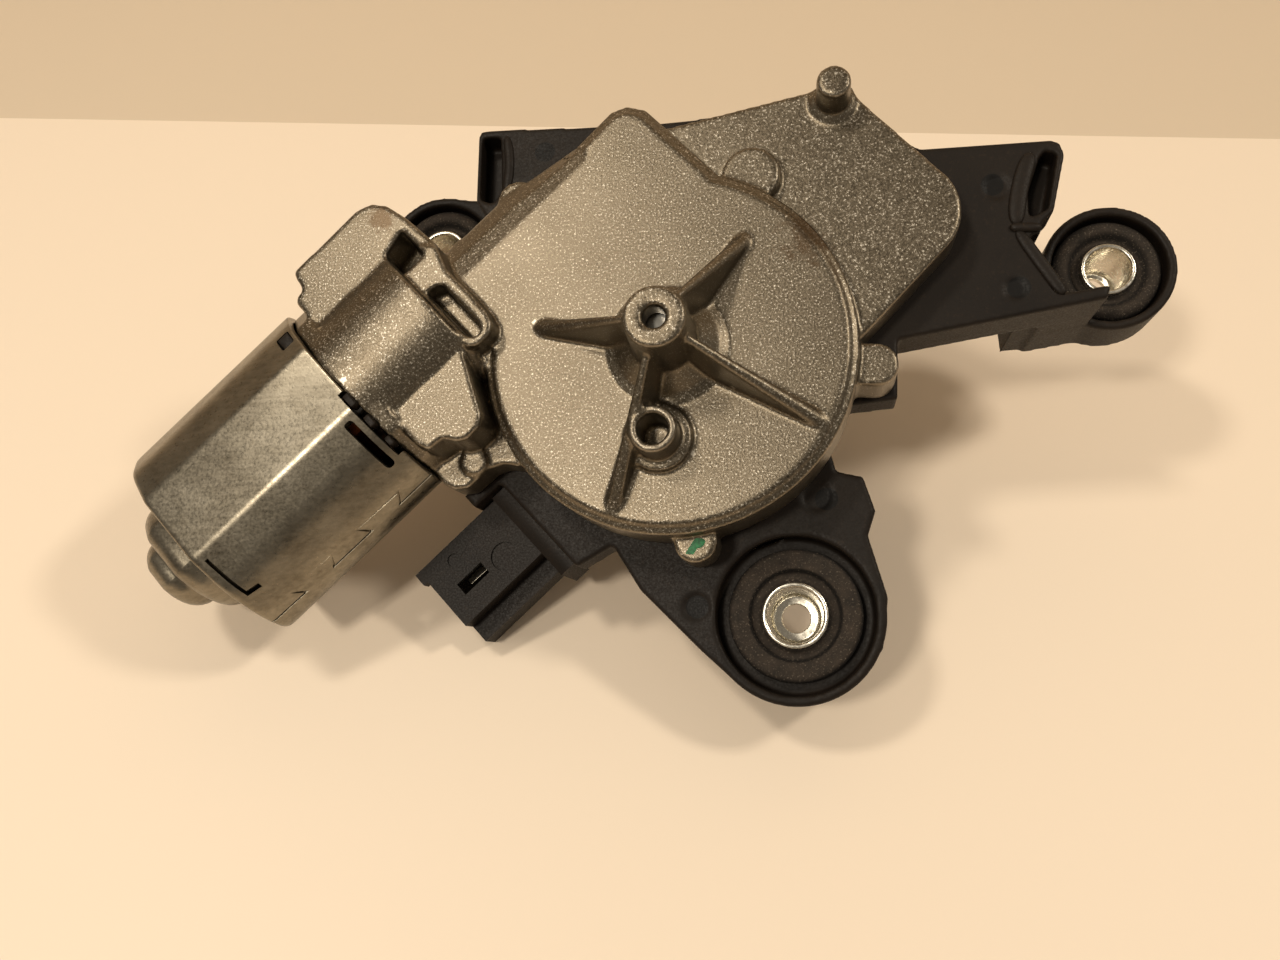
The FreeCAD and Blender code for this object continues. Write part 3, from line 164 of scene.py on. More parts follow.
def new_material(name, metallic, roughness):
    """A material, its node tree, its shader and the casting's coordinates in millimetres."""
    material = bpy.data.materials.new(name)
    material.use_nodes = True
    tree = material.node_tree
    shader = tree.nodes["Principled BSDF"]
    shader.inputs["Metallic"].default_value = metallic
    shader.inputs["Roughness"].default_value = roughness
    turn = CASTING.to_3x3().normalized().transposed()
    origin = turn @ (CASTING.translation / MM)
    metres = add_node(tree, "TexCoord", output="Object")
    place = add_node(tree, "Mapping", metres, -origin, turn.to_euler(), [1 / MM] * 3)
    return material, tree, shader, place


def connect(tree, shader, colour, relief, roughness=None):
    """Link a colour, a relief and, where it varies, a roughness to a shader."""
    tree.links.new(colour, shader.inputs["Base Color"])
    tree.links.new(relief, shader.inputs["Normal"])
    if roughness is not None:
        tree.links.new(roughness, shader.inputs["Roughness"])


# Roughness of most noises, and the span that they mostly fill
EVEN = 0.55
NOISE_SPAN = (0.3, 0.7)


def facing(tree, low, high):
    """How far a surface faces out of the cover face, from nothing to one."""
    up = (CASTING.to_3x3() @ Vector((0, 0, 1))).normalized()
    normal = add_node(tree, "TexCoord", output="Normal")
    dot = add_node(tree, "VectorMath", normal, up, operation="DOT_PRODUCT")
    return add_node(tree, "MapRange", dot, low, high, 0.0, 1.0)


def spot(tree, place, centre, radius, ragged=0.0):
    """One near a centre and nothing past a radius from it, with a soft edge that may be ragged."""
    away = add_node(tree, "VectorMath", place, centre, operation="DISTANCE")
    if ragged:
        lumps = add_node(tree, "TexNoise", place, 2.0 / radius, 3.0, EVEN)
        lumps = add_node(tree, "MapRange", lumps, *NOISE_SPAN, -ragged, ragged)
        away = add_node(tree, "Math", away, lumps, operation="ADD")
    return add_node(tree, "MapRange", away, radius * 0.55, radius, 1.0, 0.0)


# Finishes

# The inputs in their order: noise has its place, scale, detail and roughness; a range has its value,
# where that comes from and where it goes; a mix has its factor and two colours; and relief has its
# strength, distance, filter width and height. A noise's scale is one over the size of its lumps in
# millimetres.

# Brown stains of the casting: centre and radius in casting millimetres
STAINS = (((-62.5, 31.0, 4.5), 3.4), ((-57.0, 12.0, 4.0), 5.0), ((31.0, 23.0, 0.0), 7.0))
# Smooth dark discs that the tool's ejector pins leave in the bracket's top
EJECTOR_MARKS = ((70.7, 39.0), (74.9, 14.8), (4.0, -53.6), (32.3, -30.6), (-31.5, 55.0))
EJECTOR_RADIUS = 3.0


def blasted_casting(looks):
    """Aluminium die casting, shot blasted: matte warm grey with grit whose bright specks are painted highlights,
    painted shading on faces turned from the cover face, and edges painted bright as rubbing wear and painted
    highlight.
    """
    material, tree, shader, place = new_material("Shot_blasted_die_cast_aluminium", 1.0, 0.4)
    cloud = add_node(tree, "TexNoise", place, 1.0 / 14.0, 4.0, EVEN)
    clouded = ((0.32, "#5d5447"), (0.5, "#71685a"), (0.7, "#83796a"))
    colour = add_node(tree, "ValToRGB", cloud, stops=clouded)
    # Grit is about 0.2 mm, drawn at 0.45 mm so that it shows. Its darker specks are grit tone, and its brightest
    # specks are painted highlights.
    grit = add_node(tree, "TexNoise", place, 1.0 / 0.45, 2.0, 0.8)
    grit_and_painted_glint_stops = ((0.3, "#443d32"), (0.48, "#6d6456"), (0.6, "#7d7363"), (0.68, "#fbf4e6"))
    grit_and_painted_glint = add_node(tree, "ValToRGB", grit, stops=grit_and_painted_glint_stops)
    colour = add_node(tree, "Mix", 0.75, colour, grit_and_painted_glint, data_type="RGBA")
    # Painted shading: faces that turn away from the cover face are blended toward one plain colour that stands in
    # for how they look under the lamps.
    flat = facing(tree, 0.55, 0.93)
    level = add_node(tree, "MapRange", flat, 0.0, 1.0, 0.45, 1.0)
    colour = add_node(tree, "Mix", level, "#857c6d", colour, data_type="RGBA")
    for centre, radius in STAINS:
        stain = spot(tree, place, centre, radius, radius * 0.5)
        stain = add_node(tree, "MapRange", stain, 0.0, 1.0, 0.0, 0.6)
        colour = add_node(tree, "Mix", stain, colour, "#4d3a27", data_type="RGBA")
    # Edges painted bright by their pointiness: partly rubbing wear, partly painted highlight.
    edge = add_node(tree, "NewGeometry", output="Pointiness")
    edge = add_node(tree, "MapRange", edge, 0.53, 0.6, 0.0, 0.75)
    colour = add_node(tree, "Mix", edge, colour, "#d9d0c0", data_type="RGBA")
    roughness = add_node(tree, "MapRange", grit, *NOISE_SPAN, 0.3, 0.46)
    calm = add_node(tree, "MapRange", flat, 0.0, 1.0, 0.35, 1.0)
    height = add_node(tree, "Math", grit, calm, operation="MULTIPLY")
    relief = add_node(tree, "Bump", 0.8, looks.grit_height * MM, None, height)
    connect(tree, shader, colour, relief, roughness)
    return material


def plated_sheet():
    """Zinc-plated rolled steel: satin and faintly green, with cloudy patches and lines along the can."""
    material, tree, shader, place = new_material("Zinc_plated_rolled_steel", 1.0, 0.36)
    cloud = add_node(tree, "TexNoise", place, 1.0 / 7.0, 4.0, EVEN)
    clouded = ((0.3, "#6b6457"), (0.5, "#7d7668"), (0.72, "#918a7c"))
    colour = add_node(tree, "ValToRGB", cloud, stops=clouded)
    along = add_node(tree, "Mapping", place, None, (0, 0, -MOTOR_ANGLE), (0.08, 1.0, 1.0))
    line = add_node(tree, "TexNoise", along, 1.0 / 0.9, 3.0, EVEN)
    line = add_node(tree, "MapRange", line, *NOISE_SPAN, 0.0, 0.35)
    colour = add_node(tree, "Mix", line, colour, "#aaa293", data_type="RGBA")
    stain = add_node(tree, "TexNoise", place, 1.0 / 2.2, 5.0, 0.7)
    stain = add_node(tree, "MapRange", stain, 0.58, 0.72, 0.0, 0.5)
    colour = add_node(tree, "Mix", stain, colour, "#5f5647", data_type="RGBA")
    skin = add_node(tree, "TexNoise", place, 1.0 / 0.6, 3.0, EVEN)
    roughness = add_node(tree, "MapRange", skin, *NOISE_SPAN, 0.26, 0.42)
    relief = add_node(tree, "Bump", 0.6, 0.03 * MM, None, skin)
    connect(tree, shader, colour, relief, roughness)
    return material


def moulded_plastic():
    """Black glass-filled nylon from a spark-eroded tool: fine grain, with a dusty brown sheen."""
    material, tree, shader, place = new_material("Black_glass_filled_nylon", 0.0, 0.5)
    shader.inputs["Specular IOR Level"].default_value = 0.22
    patch = add_node(tree, "TexNoise", place, 1.0 / 16.0, 4.0, EVEN)
    colour = add_node(tree, "ValToRGB", patch, stops=((0.3, "#130e0a"), (0.7, "#1e1711")))
    dust = add_node(tree, "TexNoise", place, 1.0 / 1.2, 5.0, 0.75)
    dust = add_node(tree, "MapRange", dust, 0.56, 0.74, 0.0, 0.45)
    colour = add_node(tree, "Mix", dust, colour, "#35291e", data_type="RGBA")
    for x, y in EJECTOR_MARKS:
        mark = spot(tree, place, (x, y, BRACKET_TOP), EJECTOR_RADIUS)
        mark = add_node(tree, "MapRange", mark, 0.3, 0.45, 0.0, 0.9)
        colour = add_node(tree, "Mix", mark, colour, "#040303", data_type="RGBA")
    grain = add_node(tree, "TexNoise", place, 1.0 / 0.4, 2.0, EVEN)
    roughness = add_node(tree, "MapRange", grain, *NOISE_SPAN, 0.44, 0.66)
    relief = add_node(tree, "Bump", 0.6, 0.04 * MM, None, grain)
    connect(tree, shader, colour, relief, roughness)
    return material


def moulded_rubber():
    """Black moulded rubber: dull, with a brown-grey bloom and specks of dust, and painted shade darkening its
    sides.
    """
    material, tree, shader, place = new_material("Moulded_black_rubber", 0.0, 0.78)
    shader.inputs["Specular IOR Level"].default_value = 0.3
    bloom = add_node(tree, "TexNoise", place, 1.0 / 3.0, 5.0, 0.65)
    colour = add_node(tree, "ValToRGB", bloom, stops=((0.3, "#211c17"), (0.72, "#382f27")))
    # Painted shade: faces turned away from the cover face are darker.
    colour = add_node(tree, "Mix", facing(tree, 0.5, 0.95), "#1b1816", colour, data_type="RGBA")
    speck = add_node(tree, "TexNoise", place, 1.0 / 0.5, 3.0, 0.8)
    speck = add_node(tree, "MapRange", speck, 0.58, 0.7, 0.0, 0.6)
    colour = add_node(tree, "Mix", speck, colour, "#85796a", data_type="RGBA")
    grain = add_node(tree, "TexNoise", place, 1.0 / 0.35, 2.0, EVEN)
    connect(tree, shader, colour, add_node(tree, "Bump", 0.6, 0.05 * MM, None, grain))
    return material


def bright_zinc():
    """Bright zinc plate on a drawn steel cup: nearly white, mirror-like in places and clouded in others."""
    material, tree, shader, place = new_material("Bright_zinc_plate", 1.0, 0.24)
    cloud = add_node(tree, "TexNoise", place, 1.0 / 1.4, 4.0, EVEN)
    colour = add_node(tree, "ValToRGB", cloud, stops=((0.3, "#cfc9bb"), (0.7, "#efebe0")))
    roughness = add_node(tree, "MapRange", cloud, *NOISE_SPAN, 0.18, 0.34)
    grain = add_node(tree, "TexNoise", place, 1.0 / 0.5, 3.0, EVEN)
    relief = add_node(tree, "Bump", 0.5, 0.02 * MM, None, grain)
    connect(tree, shader, colour, relief, roughness)
    return material


def green_paint():
    """A dab of brushed enamel: green, satin and streaked."""
    material, tree, shader, place = new_material("Green_enamel_dab", 0.0, 0.55)
    streak = add_node(tree, "TexNoise", place, 1.0 / 0.7, 4.0, EVEN)
    colour = add_node(tree, "ValToRGB", streak, stops=((0.35, "#0d4a2a"), (0.65, "#1b7a45")))
    connect(tree, shader, colour, add_node(tree, "Bump", 0.6, 0.04 * MM, None, streak))
    return material


# Name, metallic, roughness, two colours and patch size of the finishes of the inner pieces
INNER_FINISHES = {
    "tin_plated_brass": ("Tin_plated_brass", 1.0, 0.3, "#b8b2a2", "#cfcabb", 2.0),
    "steel": ("Ground_steel", 1.0, 0.3, "#94938f", "#b3b2ae", 4.0),
    "laminated_steel": ("Stacked_electrical_steel", 1.0, 0.45, "#5c5b5a", "#787776", 2.0),
    "copper": ("Enamelled_copper", 1.0, 0.35, "#8f4a26", "#c06d3c", 1.5),
    "ferrite": ("Sintered_ferrite", 0.0, 0.6, "#232324", "#323233", 2.0),
    "bronze": ("Sintered_bronze", 1.0, 0.4, "#8a6636", "#ab8450", 1.5),
    "card_plastic": ("Brown_moulded_card", 0.0, 0.55, "#4a3120", "#5d402b", 3.0),
    "carbon": ("Pressed_carbon", 0.0, 0.5, "#1a1a1b", "#2a2a2b", 1.0),
    "wheel_plastic": ("Natural_acetal", 0.0, 0.4, "#dcd7c8", "#ece8dc", 6.0),
}


def plain_finish(name, metallic, roughness, low, high, size):
    """A finish for the inner pieces: two close colours in soft patches, with a fine grain."""
    material, tree, shader, place = new_material(name, metallic, roughness)
    patch = add_node(tree, "TexNoise", place, 1.0 / size, 3.0, EVEN)
    colour = add_node(tree, "ValToRGB", patch, stops=((0.35, low), (0.65, high)))
    grain = add_node(tree, "TexNoise", place, 6.0 / size, 3.0, EVEN)
    connect(tree, shader, colour, add_node(tree, "Bump", 0.4, 0.02 * MM, None, grain))
    return material


finishes = {}


def make_finishes(looks):
    """Every finish by the record's material slot, with two more for the sleeves and the paint."""
    finishes.clear()
    finishes["cast_aluminium"] = blasted_casting(looks)
    finishes["zinc_steel"] = plated_sheet()
    finishes["black_plastic"] = moulded_plastic()
    finishes["rubber"] = moulded_rubber()
    finishes["seal_rubber"] = finishes["rubber"]
    finishes["bright_zinc"] = bright_zinc()
    finishes["green_paint"] = green_paint()
    for slot, values in INNER_FINISHES.items():
        finishes[slot] = plain_finish(*values)


# Surfaces

# Points on each rounded corner, and the most of a side that a corner may take
CORNER_POINTS = 6
MOST_CUT = 0.49


def rounded_line(corners, closed=False):
    """Points along a line whose corners (x, y, cut) are rounded.

    Each corner is replaced by the curve (1-t)^2 A + 2t(1-t) C + t^2 B, where C is the corner and
    A and B lie the cut away from it along its two sides, or just under half a side away at most.
    """
    corners = np.asarray(corners, dtype=float)
    middle = corners[:, :2]
    before = np.roll(middle, 1, axis=0) - middle
    after = np.roll(middle, -1, axis=0) - middle
    cut = corners[:, 2].copy()
    if not closed:
        cut[[0, -1]] = 0.0
    ends = []
    for side in (before, after):
        length = np.linalg.norm(side, axis=1)
        ends.append(middle + side * (np.minimum(cut, length * MOST_CUT) / length)[:, None])
    t = np.linspace(0.0, 1.0, CORNER_POINTS)[None, :, None]
    curve = (1 - t) ** 2 * ends[0][:, None] + 2 * t * (1 - t) * middle[:, None] + t ** 2 * ends[1][:, None]
    return curve.reshape(-1, 2)


def rounded_box(left, low, right, high, cut):
    """Outline of a rectangle with rounded corners."""
    corners = [(left, low, cut), (right, low, cut), (right, high, cut), (left, high, cut)]
    return rounded_line(corners, closed=True)


def raised(outline, height):
    """Points (x, y) of an outline put at a height."""
    return np.column_stack([outline, np.full(len(outline), height)])


def band(line, width):
    """Closed outline of a line of points given a width: the line moved half of it to each side."""
    line = np.asarray(line, dtype=float)
    ahead = np.diff(line, axis=0)
    ahead /= np.linalg.norm(ahead, axis=1)[:, None]
    normal = np.stack([-ahead[:, 1], ahead[:, 0]], axis=-1)
    before = np.vstack([normal[:1], normal])
    after = np.vstack([normal, normal[-1:]])
    mitre = before + after
    mitre /= 1 + np.sum(before * after, axis=1)[:, None]
    return np.vstack([line + mitre * width / 2, (line - mitre * width / 2)[::-1]])


def spun(profile, count, wave=None):
    """Grid of a profile (radius, height) carried round the Z axis.

    A point is (r cos a, r sin a, z). The wave, where given, is added to r and depends on z and a.
    """
    angle = np.linspace(0.0, FULL_TURN, count, endpoint=False)[None, :]
    radius = profile[:, :1] + np.zeros_like(angle)
    height = profile[:, 1:2] + np.zeros_like(angle)
    if wave is not None:
        radius = radius + wave(height, angle)
    return np.stack([radius * np.cos(angle), radius * np.sin(angle), height], axis=-1)


def carried(matrix, points):
    """Points in millimetres carried to metres by a frame's matrix."""
    m = np.array(matrix)
    return points @ m[:3, :3].T + m[:3, 3]


def grid_faces(rows, columns, wrap_rows, wrap_columns):
    """Quads of a grid of points, closed round either way when asked."""
    i = np.arange(rows if wrap_rows else rows - 1)
    j = np.arange(columns if wrap_columns else columns - 1)
    a, b = np.meshgrid(i, j, indexing="ij")
    c = (a + 1) % rows
    d = (b + 1) % columns
    quads = np.stack([a * columns + b, c * columns + b, c * columns + d, a * columns + d], axis=-1)
    return quads.reshape(-1, 4)


def linked(name, data):
    """A new object in the scene."""
    item = bpy.data.objects.new(name, data)
    bpy.context.scene.collection.objects.link(item)
    return item


def clean(mesh):
    """Merge doubled points of a mesh and turn its faces outwards."""
    work = bmesh.new()
    work.from_mesh(mesh)
    bmesh.ops.remove_doubles(work, verts=work.verts, dist=1e-6)
    bmesh.ops.dissolve_degenerate(work, edges=work.edges, dist=1e-7)
    bmesh.ops.recalc_face_normals(work, faces=work.faces)
    work.to_mesh(mesh)
    work.free()


def dress(piece, finish, body, crease):
    """Smooth a piece up to a crease angle, and give it its finish, body and slot."""
    mesh = piece.data
    mesh.polygons.foreach_set("use_smooth", np.ones(len(mesh.polygons), dtype=bool))
    mesh.set_sharp_from_angle(angle=math.radians(crease))
    mesh.materials.clear()
    mesh.materials.append(finishes[finish])
    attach(piece, body)
    return piece


def add_piece(name, points, matrix, finish, body, wrap=(False, True)):
    """A piece from a grid of points in the millimetres of a frame, closed round along its rows or columns."""
    rows, columns = points.shape[:2]
    places = carried(matrix, points.reshape(-1, 3))
    mesh = bpy.data.meshes.new(name)
    mesh.from_pydata(places.tolist(), [], grid_faces(rows, columns, *wrap).tolist())
    clean(mesh)
    return dress(linked(name, mesh), finish, body, PIECE_CREASE)


def settled(piece):
    """Apply a piece's modifiers to its mesh."""
    graph = bpy.context.evaluated_depsgraph_get()
    mesh = bpy.data.meshes.new_from_object(piece.evaluated_get(graph))
    piece.modifiers.clear()
    piece.data = mesh
    return piece


# Order of the level and the two coordinates of a prism that lies along an axis
ALONG_X = [0, 1, 2]
ALONG_Y = [1, 0, 2]
ALONG_Z = [1, 2, 0]


def prism(outline, low, high, order, matrix=MOTOR):
    """Solid over an outline (a, b) between two levels, each one level or one for every point."""
    count = len(outline)
    loops = [np.column_stack([np.broadcast_to(level, count), outline]) for level in (low, high)]
    points = np.vstack(loops)[:, order]
    i = np.arange(count)
    sides = np.stack([i, (i + 1) % count, (i + 1) % count + count, i + count], axis=-1).tolist()
    mesh = bpy.data.meshes.new("Cutter")
    mesh.from_pydata(points.tolist(), [], sides + [i[::-1].tolist(), (i + count).tolist()])
    mesh.transform(matrix)
    clean(mesh)
    return linked("Cutter", mesh)


def cut_away(piece, cutters):
    """Cut solids out of a piece and delete them."""
    for cutter in cutters:
        hole = piece.modifiers.new("Hole", "BOOLEAN")
        hole.operation = "DIFFERENCE"
        hole.solver = "EXACT"
        hole.object = cutter
        settled(piece)
        bpy.data.objects.remove(cutter)


def merged_copy(node, name):
    """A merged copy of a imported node's mesh, in casting millimetres."""
    source = nodes[node]
    mesh = source.data.copy()
    mesh.transform(CASTING.inverted() @ source.matrix_world)
    work = bmesh.new()
    work.from_mesh(mesh)
    bmesh.ops.remove_doubles(work, verts=work.verts, dist=1e-4)
    work.to_mesh(mesh)
    work.free()
    return linked(name, mesh)


def relaxed(points, edges, shares):
    """Points moved by shares of the way to the mean of their neighbours, one share after another.

    Positive shares soften. A positive share followed by a slightly larger negative one takes the
    small waves out and leaves the size as it is.
    """
    first, second = edges[:, 0], edges[:, 1]
    count = np.bincount(edges.ravel(), minlength=len(points))[:, None]
    for share in shares:
        total = np.empty_like(points)
        for axis in range(3):
            value = points[:, axis]
            ahead = np.bincount(first, value[second], len(points))
            behind = np.bincount(second, value[first], len(points))
            total[:, axis] = ahead + behind
        points = points + (total / count - points) * share
    return points


# Shares of the way that soften a shell, and those that even it out afterwards
SOFTEN = [0.5]
EVEN_OUT = [0.5, -0.53]
EVENING_ROUNDS = 6
MOST_TRIANGLES = 190000


def rounded_copy(node, name, cube, rounds, finish, fillers=()):
    """A cast or moulded shell with filleted edges: the node's solid in small cubes, relaxed and thinned.

    The fillers are solids that the cubes join to it.
    """
    piece = merged_copy(node, name)
    work = bmesh.new()
    work.from_mesh(piece.data)
    for filler in fillers:
        filler.data.transform(CASTING.inverted())
        work.from_mesh(filler.data)
        bpy.data.objects.remove(filler)
    work.to_mesh(piece.data)
    work.free()
    cubes = piece.modifiers.new("Cubes", "REMESH")
    cubes.mode = "VOXEL"
    cubes.voxel_size = cube
    settled(piece)
    mesh = piece.data
    points = np.empty(len(mesh.vertices) * 3)
    edges = np.empty(len(mesh.edges) * 2, dtype=int)
    mesh.vertices.foreach_get("co", points)
    mesh.edges.foreach_get("vertices", edges)
    shares = SOFTEN * rounds + EVEN_OUT * EVENING_ROUNDS
    points = relaxed(points.reshape(-1, 3), edges.reshape(-1, 2), shares)
    mesh.vertices.foreach_set("co", points.ravel())
    mesh.update()
    triangles = 2 * len(mesh.polygons)
    if triangles > MOST_TRIANGLES:
        thin = piece.modifiers.new("Thin", "DECIMATE")
        thin.ratio = MOST_TRIANGLES / triangles
        settled(piece)
    piece.data.transform(CASTING)
    dress(piece, finish, "base", SHELL_CREASE)
    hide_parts(node)


def bevelled_copy(node, name, width, finish):
    """A moulded shell with small bevels: the node's flat faces joined up, and its sharp edges bevelled."""
    piece = merged_copy(node, name)
    work = bmesh.new()
    work.from_mesh(piece.data)
    bmesh.ops.dissolve_limit(work, angle_limit=math.radians(1.0), verts=work.verts, edges=work.edges)
    work.to_mesh(piece.data)
    work.free()
    edge = piece.modifiers.new("Edge", "BEVEL")
    edge.width = width
    edge.segments = 2
    edge.limit_method = "ANGLE"
    edge.angle_limit = math.radians(35.0)
    settled(piece)
    piece.data.transform(CASTING)
    dress(piece, finish, "base", SOCKET_CREASE)
    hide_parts(node)


# Pieces

# Middle and skin level of the casting's blind screw holes, in casting millimetres
BLIND_HOLES = (((55.5, 24.0), -6.5), ((-43.8, -22.0), -6.7))
DISC_RADIUS = 3.0
DISC_DEPTH = 1.6
DISC_SINK = 0.02
# Section of the shoulder along the worm tunnel and the stations of its ends, in motor millimetres
SHOULDER = [(1.0, 8.85), (-1.2, 8.7), (-4.4, 7.9), (-4.4, 7.6), (-2.9, 7.62), (-2.0, 7.9), (1.0, 7.9)]
SHOULDER_ENDS = (-17.0, 30.0)


def casting_fillers():
    """Solids that close the casting's skin: over two blind screw holes, and a shoulder along the worm tunnel.

    A disc's outline is (x + r cos a, y + r sin a).
    """
    fillers = []
    angle = np.linspace(0.0, FULL_TURN, 24, endpoint=False)
    for (x, y), top in BLIND_HOLES:
        disc = np.column_stack([x + DISC_RADIUS * np.cos(angle), y + DISC_RADIUS * np.sin(angle)])
        fillers.append(prism(disc, top - DISC_DEPTH, top - DISC_SINK, ALONG_Z, CASTING))
    fillers.append(prism(np.array(SHOULDER), *SHOULDER_ENDS, ALONG_Z))
    return fillers


# Corners and cuts of the paint's outline on its screw lug, and its thickness and sink, in millimetres
DAB = [
    (2.9, -43.3, 0.3), (4.6, -43.6, 0.5), (5.4, -42.2, 0.4), (6.6, -42.0, 0.5),
    (7.2, -40.7, 0.4), (6.0, -38.9, 0.4), (4.8, -38.8, 0.3), (4.9, -40.2, 0.5),
]
DAB_THICKNESS = 0.07
DAB_SINK = 0.05


def paint_dab():
    """A dab of paint on a screw lug: an uneven outline with a thin rounded top, z = h (1 - s^4)."""
    outline = rounded_line(DAB, closed=True)
    middle = outline.mean(axis=0)
    out = np.linspace(0.0, 1.0, 8)
    share = np.concatenate([out, [1.0, 0.0]])
    rise = np.concatenate([DAB_THICKNESS * (1 - out ** 4), [-DAB_SINK, -DAB_SINK]])
    flat = middle + (outline - middle)[None] * share[:, None, None]
    height = np.broadcast_to(rise[:, None, None] + LUG_TOP, flat.shape[:2] + (1,))
    points = np.concatenate([flat, height], axis=-1)
    add_piece("paint_dab", points, CASTING, "green_paint", "base")


# Name, ends and middle, width and height of the low ridges on the bracket, in casting millimetres
RIDGES = (
    ("ridge_curved", ((79.4, 46.0), (76.4, 37.6), (75.2, 29.0)), 3.8, 0.8),
    ("ridge_cross", ((73.6, 28.6), (77.0, 28.4), (80.4, 28.2)), 2.2, 1.0),
    ("ridge_slanted", ((75.2, 28.0), (79.4, 20.6), (84.2, 12.6)), 2.8, 0.7),
    ("ridge_left", ((-41.2, 60.0), (-40.2, 52.5), (-41.0, 45.5)), 2.4, 0.8),
)
RIDGE_SINK = 0.4


def ridge(name, places, width, height):
    """A low moulded ridge on the bracket.

    Its middle line is the quadratic curve through three places. Across it the section is half an
    ellipse of the width and height, with a shallower half sunk in the bracket. The section is scaled
    by the square root of 1 - |2u - 1|^5, so that the ridge closes at its tips.
    """
    first, through, last = (np.array(place, dtype=float) for place in places)
    control = 2 * through - (first + last) / 2
    u = np.linspace(0.0, 1.0, 33)[:, None]
    line = (1 - u) ** 2 * first + 2 * u * (1 - u) * control + u ** 2 * last
    ahead = np.gradient(line, axis=0)
    ahead /= np.linalg.norm(ahead, axis=1)[:, None]
    across = np.stack([-ahead[:, 1], ahead[:, 0]], axis=-1)
    size = np.sqrt(np.clip(1 - np.abs(2 * u - 1) ** 5, 0.0, 1.0))
    v = np.linspace(0.0, FULL_TURN, 20, endpoint=False)[None, :]
    flat = line[:, None, :] + across[:, None, :] * (width / 2 * size * np.cos(v))[:, :, None]
    rise = np.where(np.sin(v) > 0, height, RIDGE_SINK) * np.sin(v) * size + BRACKET_TOP
    points = np.concatenate([flat, rise[:, :, None]], axis=-1)
    add_piece(name, points, CASTING, "black_plastic", "base")


def can_outline(distance):
    """The can's section moved in by a distance: a flattened barrel of twelve facets with rounded folds."""
    w = CAN_HALF_WIDTH - distance
    k = CAN_HALF_HEIGHT - distance
    quarter = [(w, 0.0, 2.4), (w - 2.2, k * 0.36, 3.4), (w * 0.65, k * 0.8, 3.0), (w * 0.325, k, 0.9)]
    top = quarter + [(-x, y, cut) for x, y, cut in reversed(quarter)]
    bottom = [(-x, -y, cut) for x, y, cut in top[1:-1]]
    return rounded_line(top + bottom, closed=True)


# Dovetail seam of the can: height above the worm axis, and station
SEAM = (
    (3.8, 54.0), (3.8, 65.0), (6.6, 63.2), (7.0, 75.1), (3.8, 73.4), (3.9, 84.8), (7.0, 82.9), (7.4, 95.0),
    (4.2, 92.7), (4.6, 105.0),
)
# The facet that holds the seam leans in by this share of the height
FACET_LEAN = 0.32
# Sides, ends and corner cuts of the openings in the can's upper wall: X and station, in motor millimetres
SLOT = (10.2, 58.4, 21.2, 60.6, 0.9)
NOTCH = (-16.6, 56.4, -12.6, 59.8, 0.6)
MOUTH_LEFT, MOUTH_RIGHT = 4.6, 20.6
MOUTH_FRONT, MOUTH_BACK = CAN_START - 1.0, CAN_START + 1.5
SLIT = ((10.6, 100.4), (19.9, 100.2), (20.3, 97.0))
SLIT_WIDTH = 0.8
# Levels between which the openings are cut
UPPER_WALL = (6.0, CAN_HALF_HEIGHT + 3.0)


def motor_can(sizes):
    """The rolled can: a twelve-sided tube with rounded ends, its dovetail seam, slots and notches cut in.

    The wall's section (distance in, station) is a rounded rectangle, and each of its points carries
    the whole outline moved in by that distance.
    """
    wall = rounded_line(
        [(0.0, CAN_START, 0.5), (0.0, CAN_END, 1.5), (CAN_WALL, CAN_END, 0.4), (CAN_WALL, CAN_START, 0.3)],
        closed=True,
    )
    points = np.stack([raised(can_outline(inwards), station) for inwards, station in wall])
    piece = add_piece("rolled_can", points, MOTOR, "zinc_steel", "base", (True, True))
    seam = band(SEAM, sizes.seam_width)
    facet = CAN_HALF_WIDTH - FACET_LEAN * seam[:, 0]
    mouth = np.array([
        (MOUTH_LEFT, MOUTH_FRONT), (MOUTH_RIGHT, MOUTH_FRONT),
        (MOUTH_RIGHT, MOUTH_BACK), (MOUTH_LEFT, MOUTH_BACK),
    ])
    cutters = [prism(seam, facet - sizes.seam_depth, facet + 2.0, ALONG_X)]
    for outline in (rounded_box(*SLOT), rounded_box(*NOTCH), mouth, band(SLIT, SLIT_WIDTH)):
        cutters.append(prism(outline, *UPPER_WALL, ALONG_Y))
    cut_away(piece, cutters)
    dress(piece, "zinc_steel", "base", CAN_CREASE)
    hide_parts("motor_can")


# Corners (radius, station, cut) of the end plate with its dome, from the middle out and in again
PLATE_BACK = CAN_END - 0.4
PLATE_FRONT = PLATE_BACK - 2.0
DOME_INSIDE = ((0.0, CAN_END + 9.6, 0), (6.0, CAN_END + 9.6, 1.0), (6.0, PLATE_FRONT, 0))
DOME_OUTSIDE = (
    (17.5, PLATE_BACK, 0), (14.6, PLATE_BACK, 1.6), (14.6, CAN_END + 5.0, 1.6), (12.8, CAN_END + 7.4, 1.6),
    (9.2, CAN_END + 7.4, 1.4), (9.2, CAN_END + 11.0, 1.8), (6.6, CAN_END + 13.8, 2.4),
    (0.0, CAN_END + 13.8, 0),
)


def can_end():
    """The can's end plate and bearing dome as one closed sheet.

    The inner and outer rows are circles of a radius at a station, and the plate's edge between them
    is the can's outline moved in by its wall. The sheet runs straight from one to the other.
    """
    outline = can_outline(CAN_WALL + 0.05)
    angle = np.arctan2(outline[:, 1], outline[:, 0])
    circle = np.column_stack([np.cos(angle), np.sin(angle)])
    rows = [raised(circle * radius, station) for radius, station in rounded_line(DOME_INSIDE)]
    rows += [raised(outline, station) for station in (PLATE_FRONT, PLATE_BACK)]
    rows += [raised(circle * radius, station) for radius, station in rounded_line(DOME_OUTSIDE)]
    piece = add_piece("end_dome", np.stack(rows), MOTOR, "zinc_steel", "base")
    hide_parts("can_end_plate")


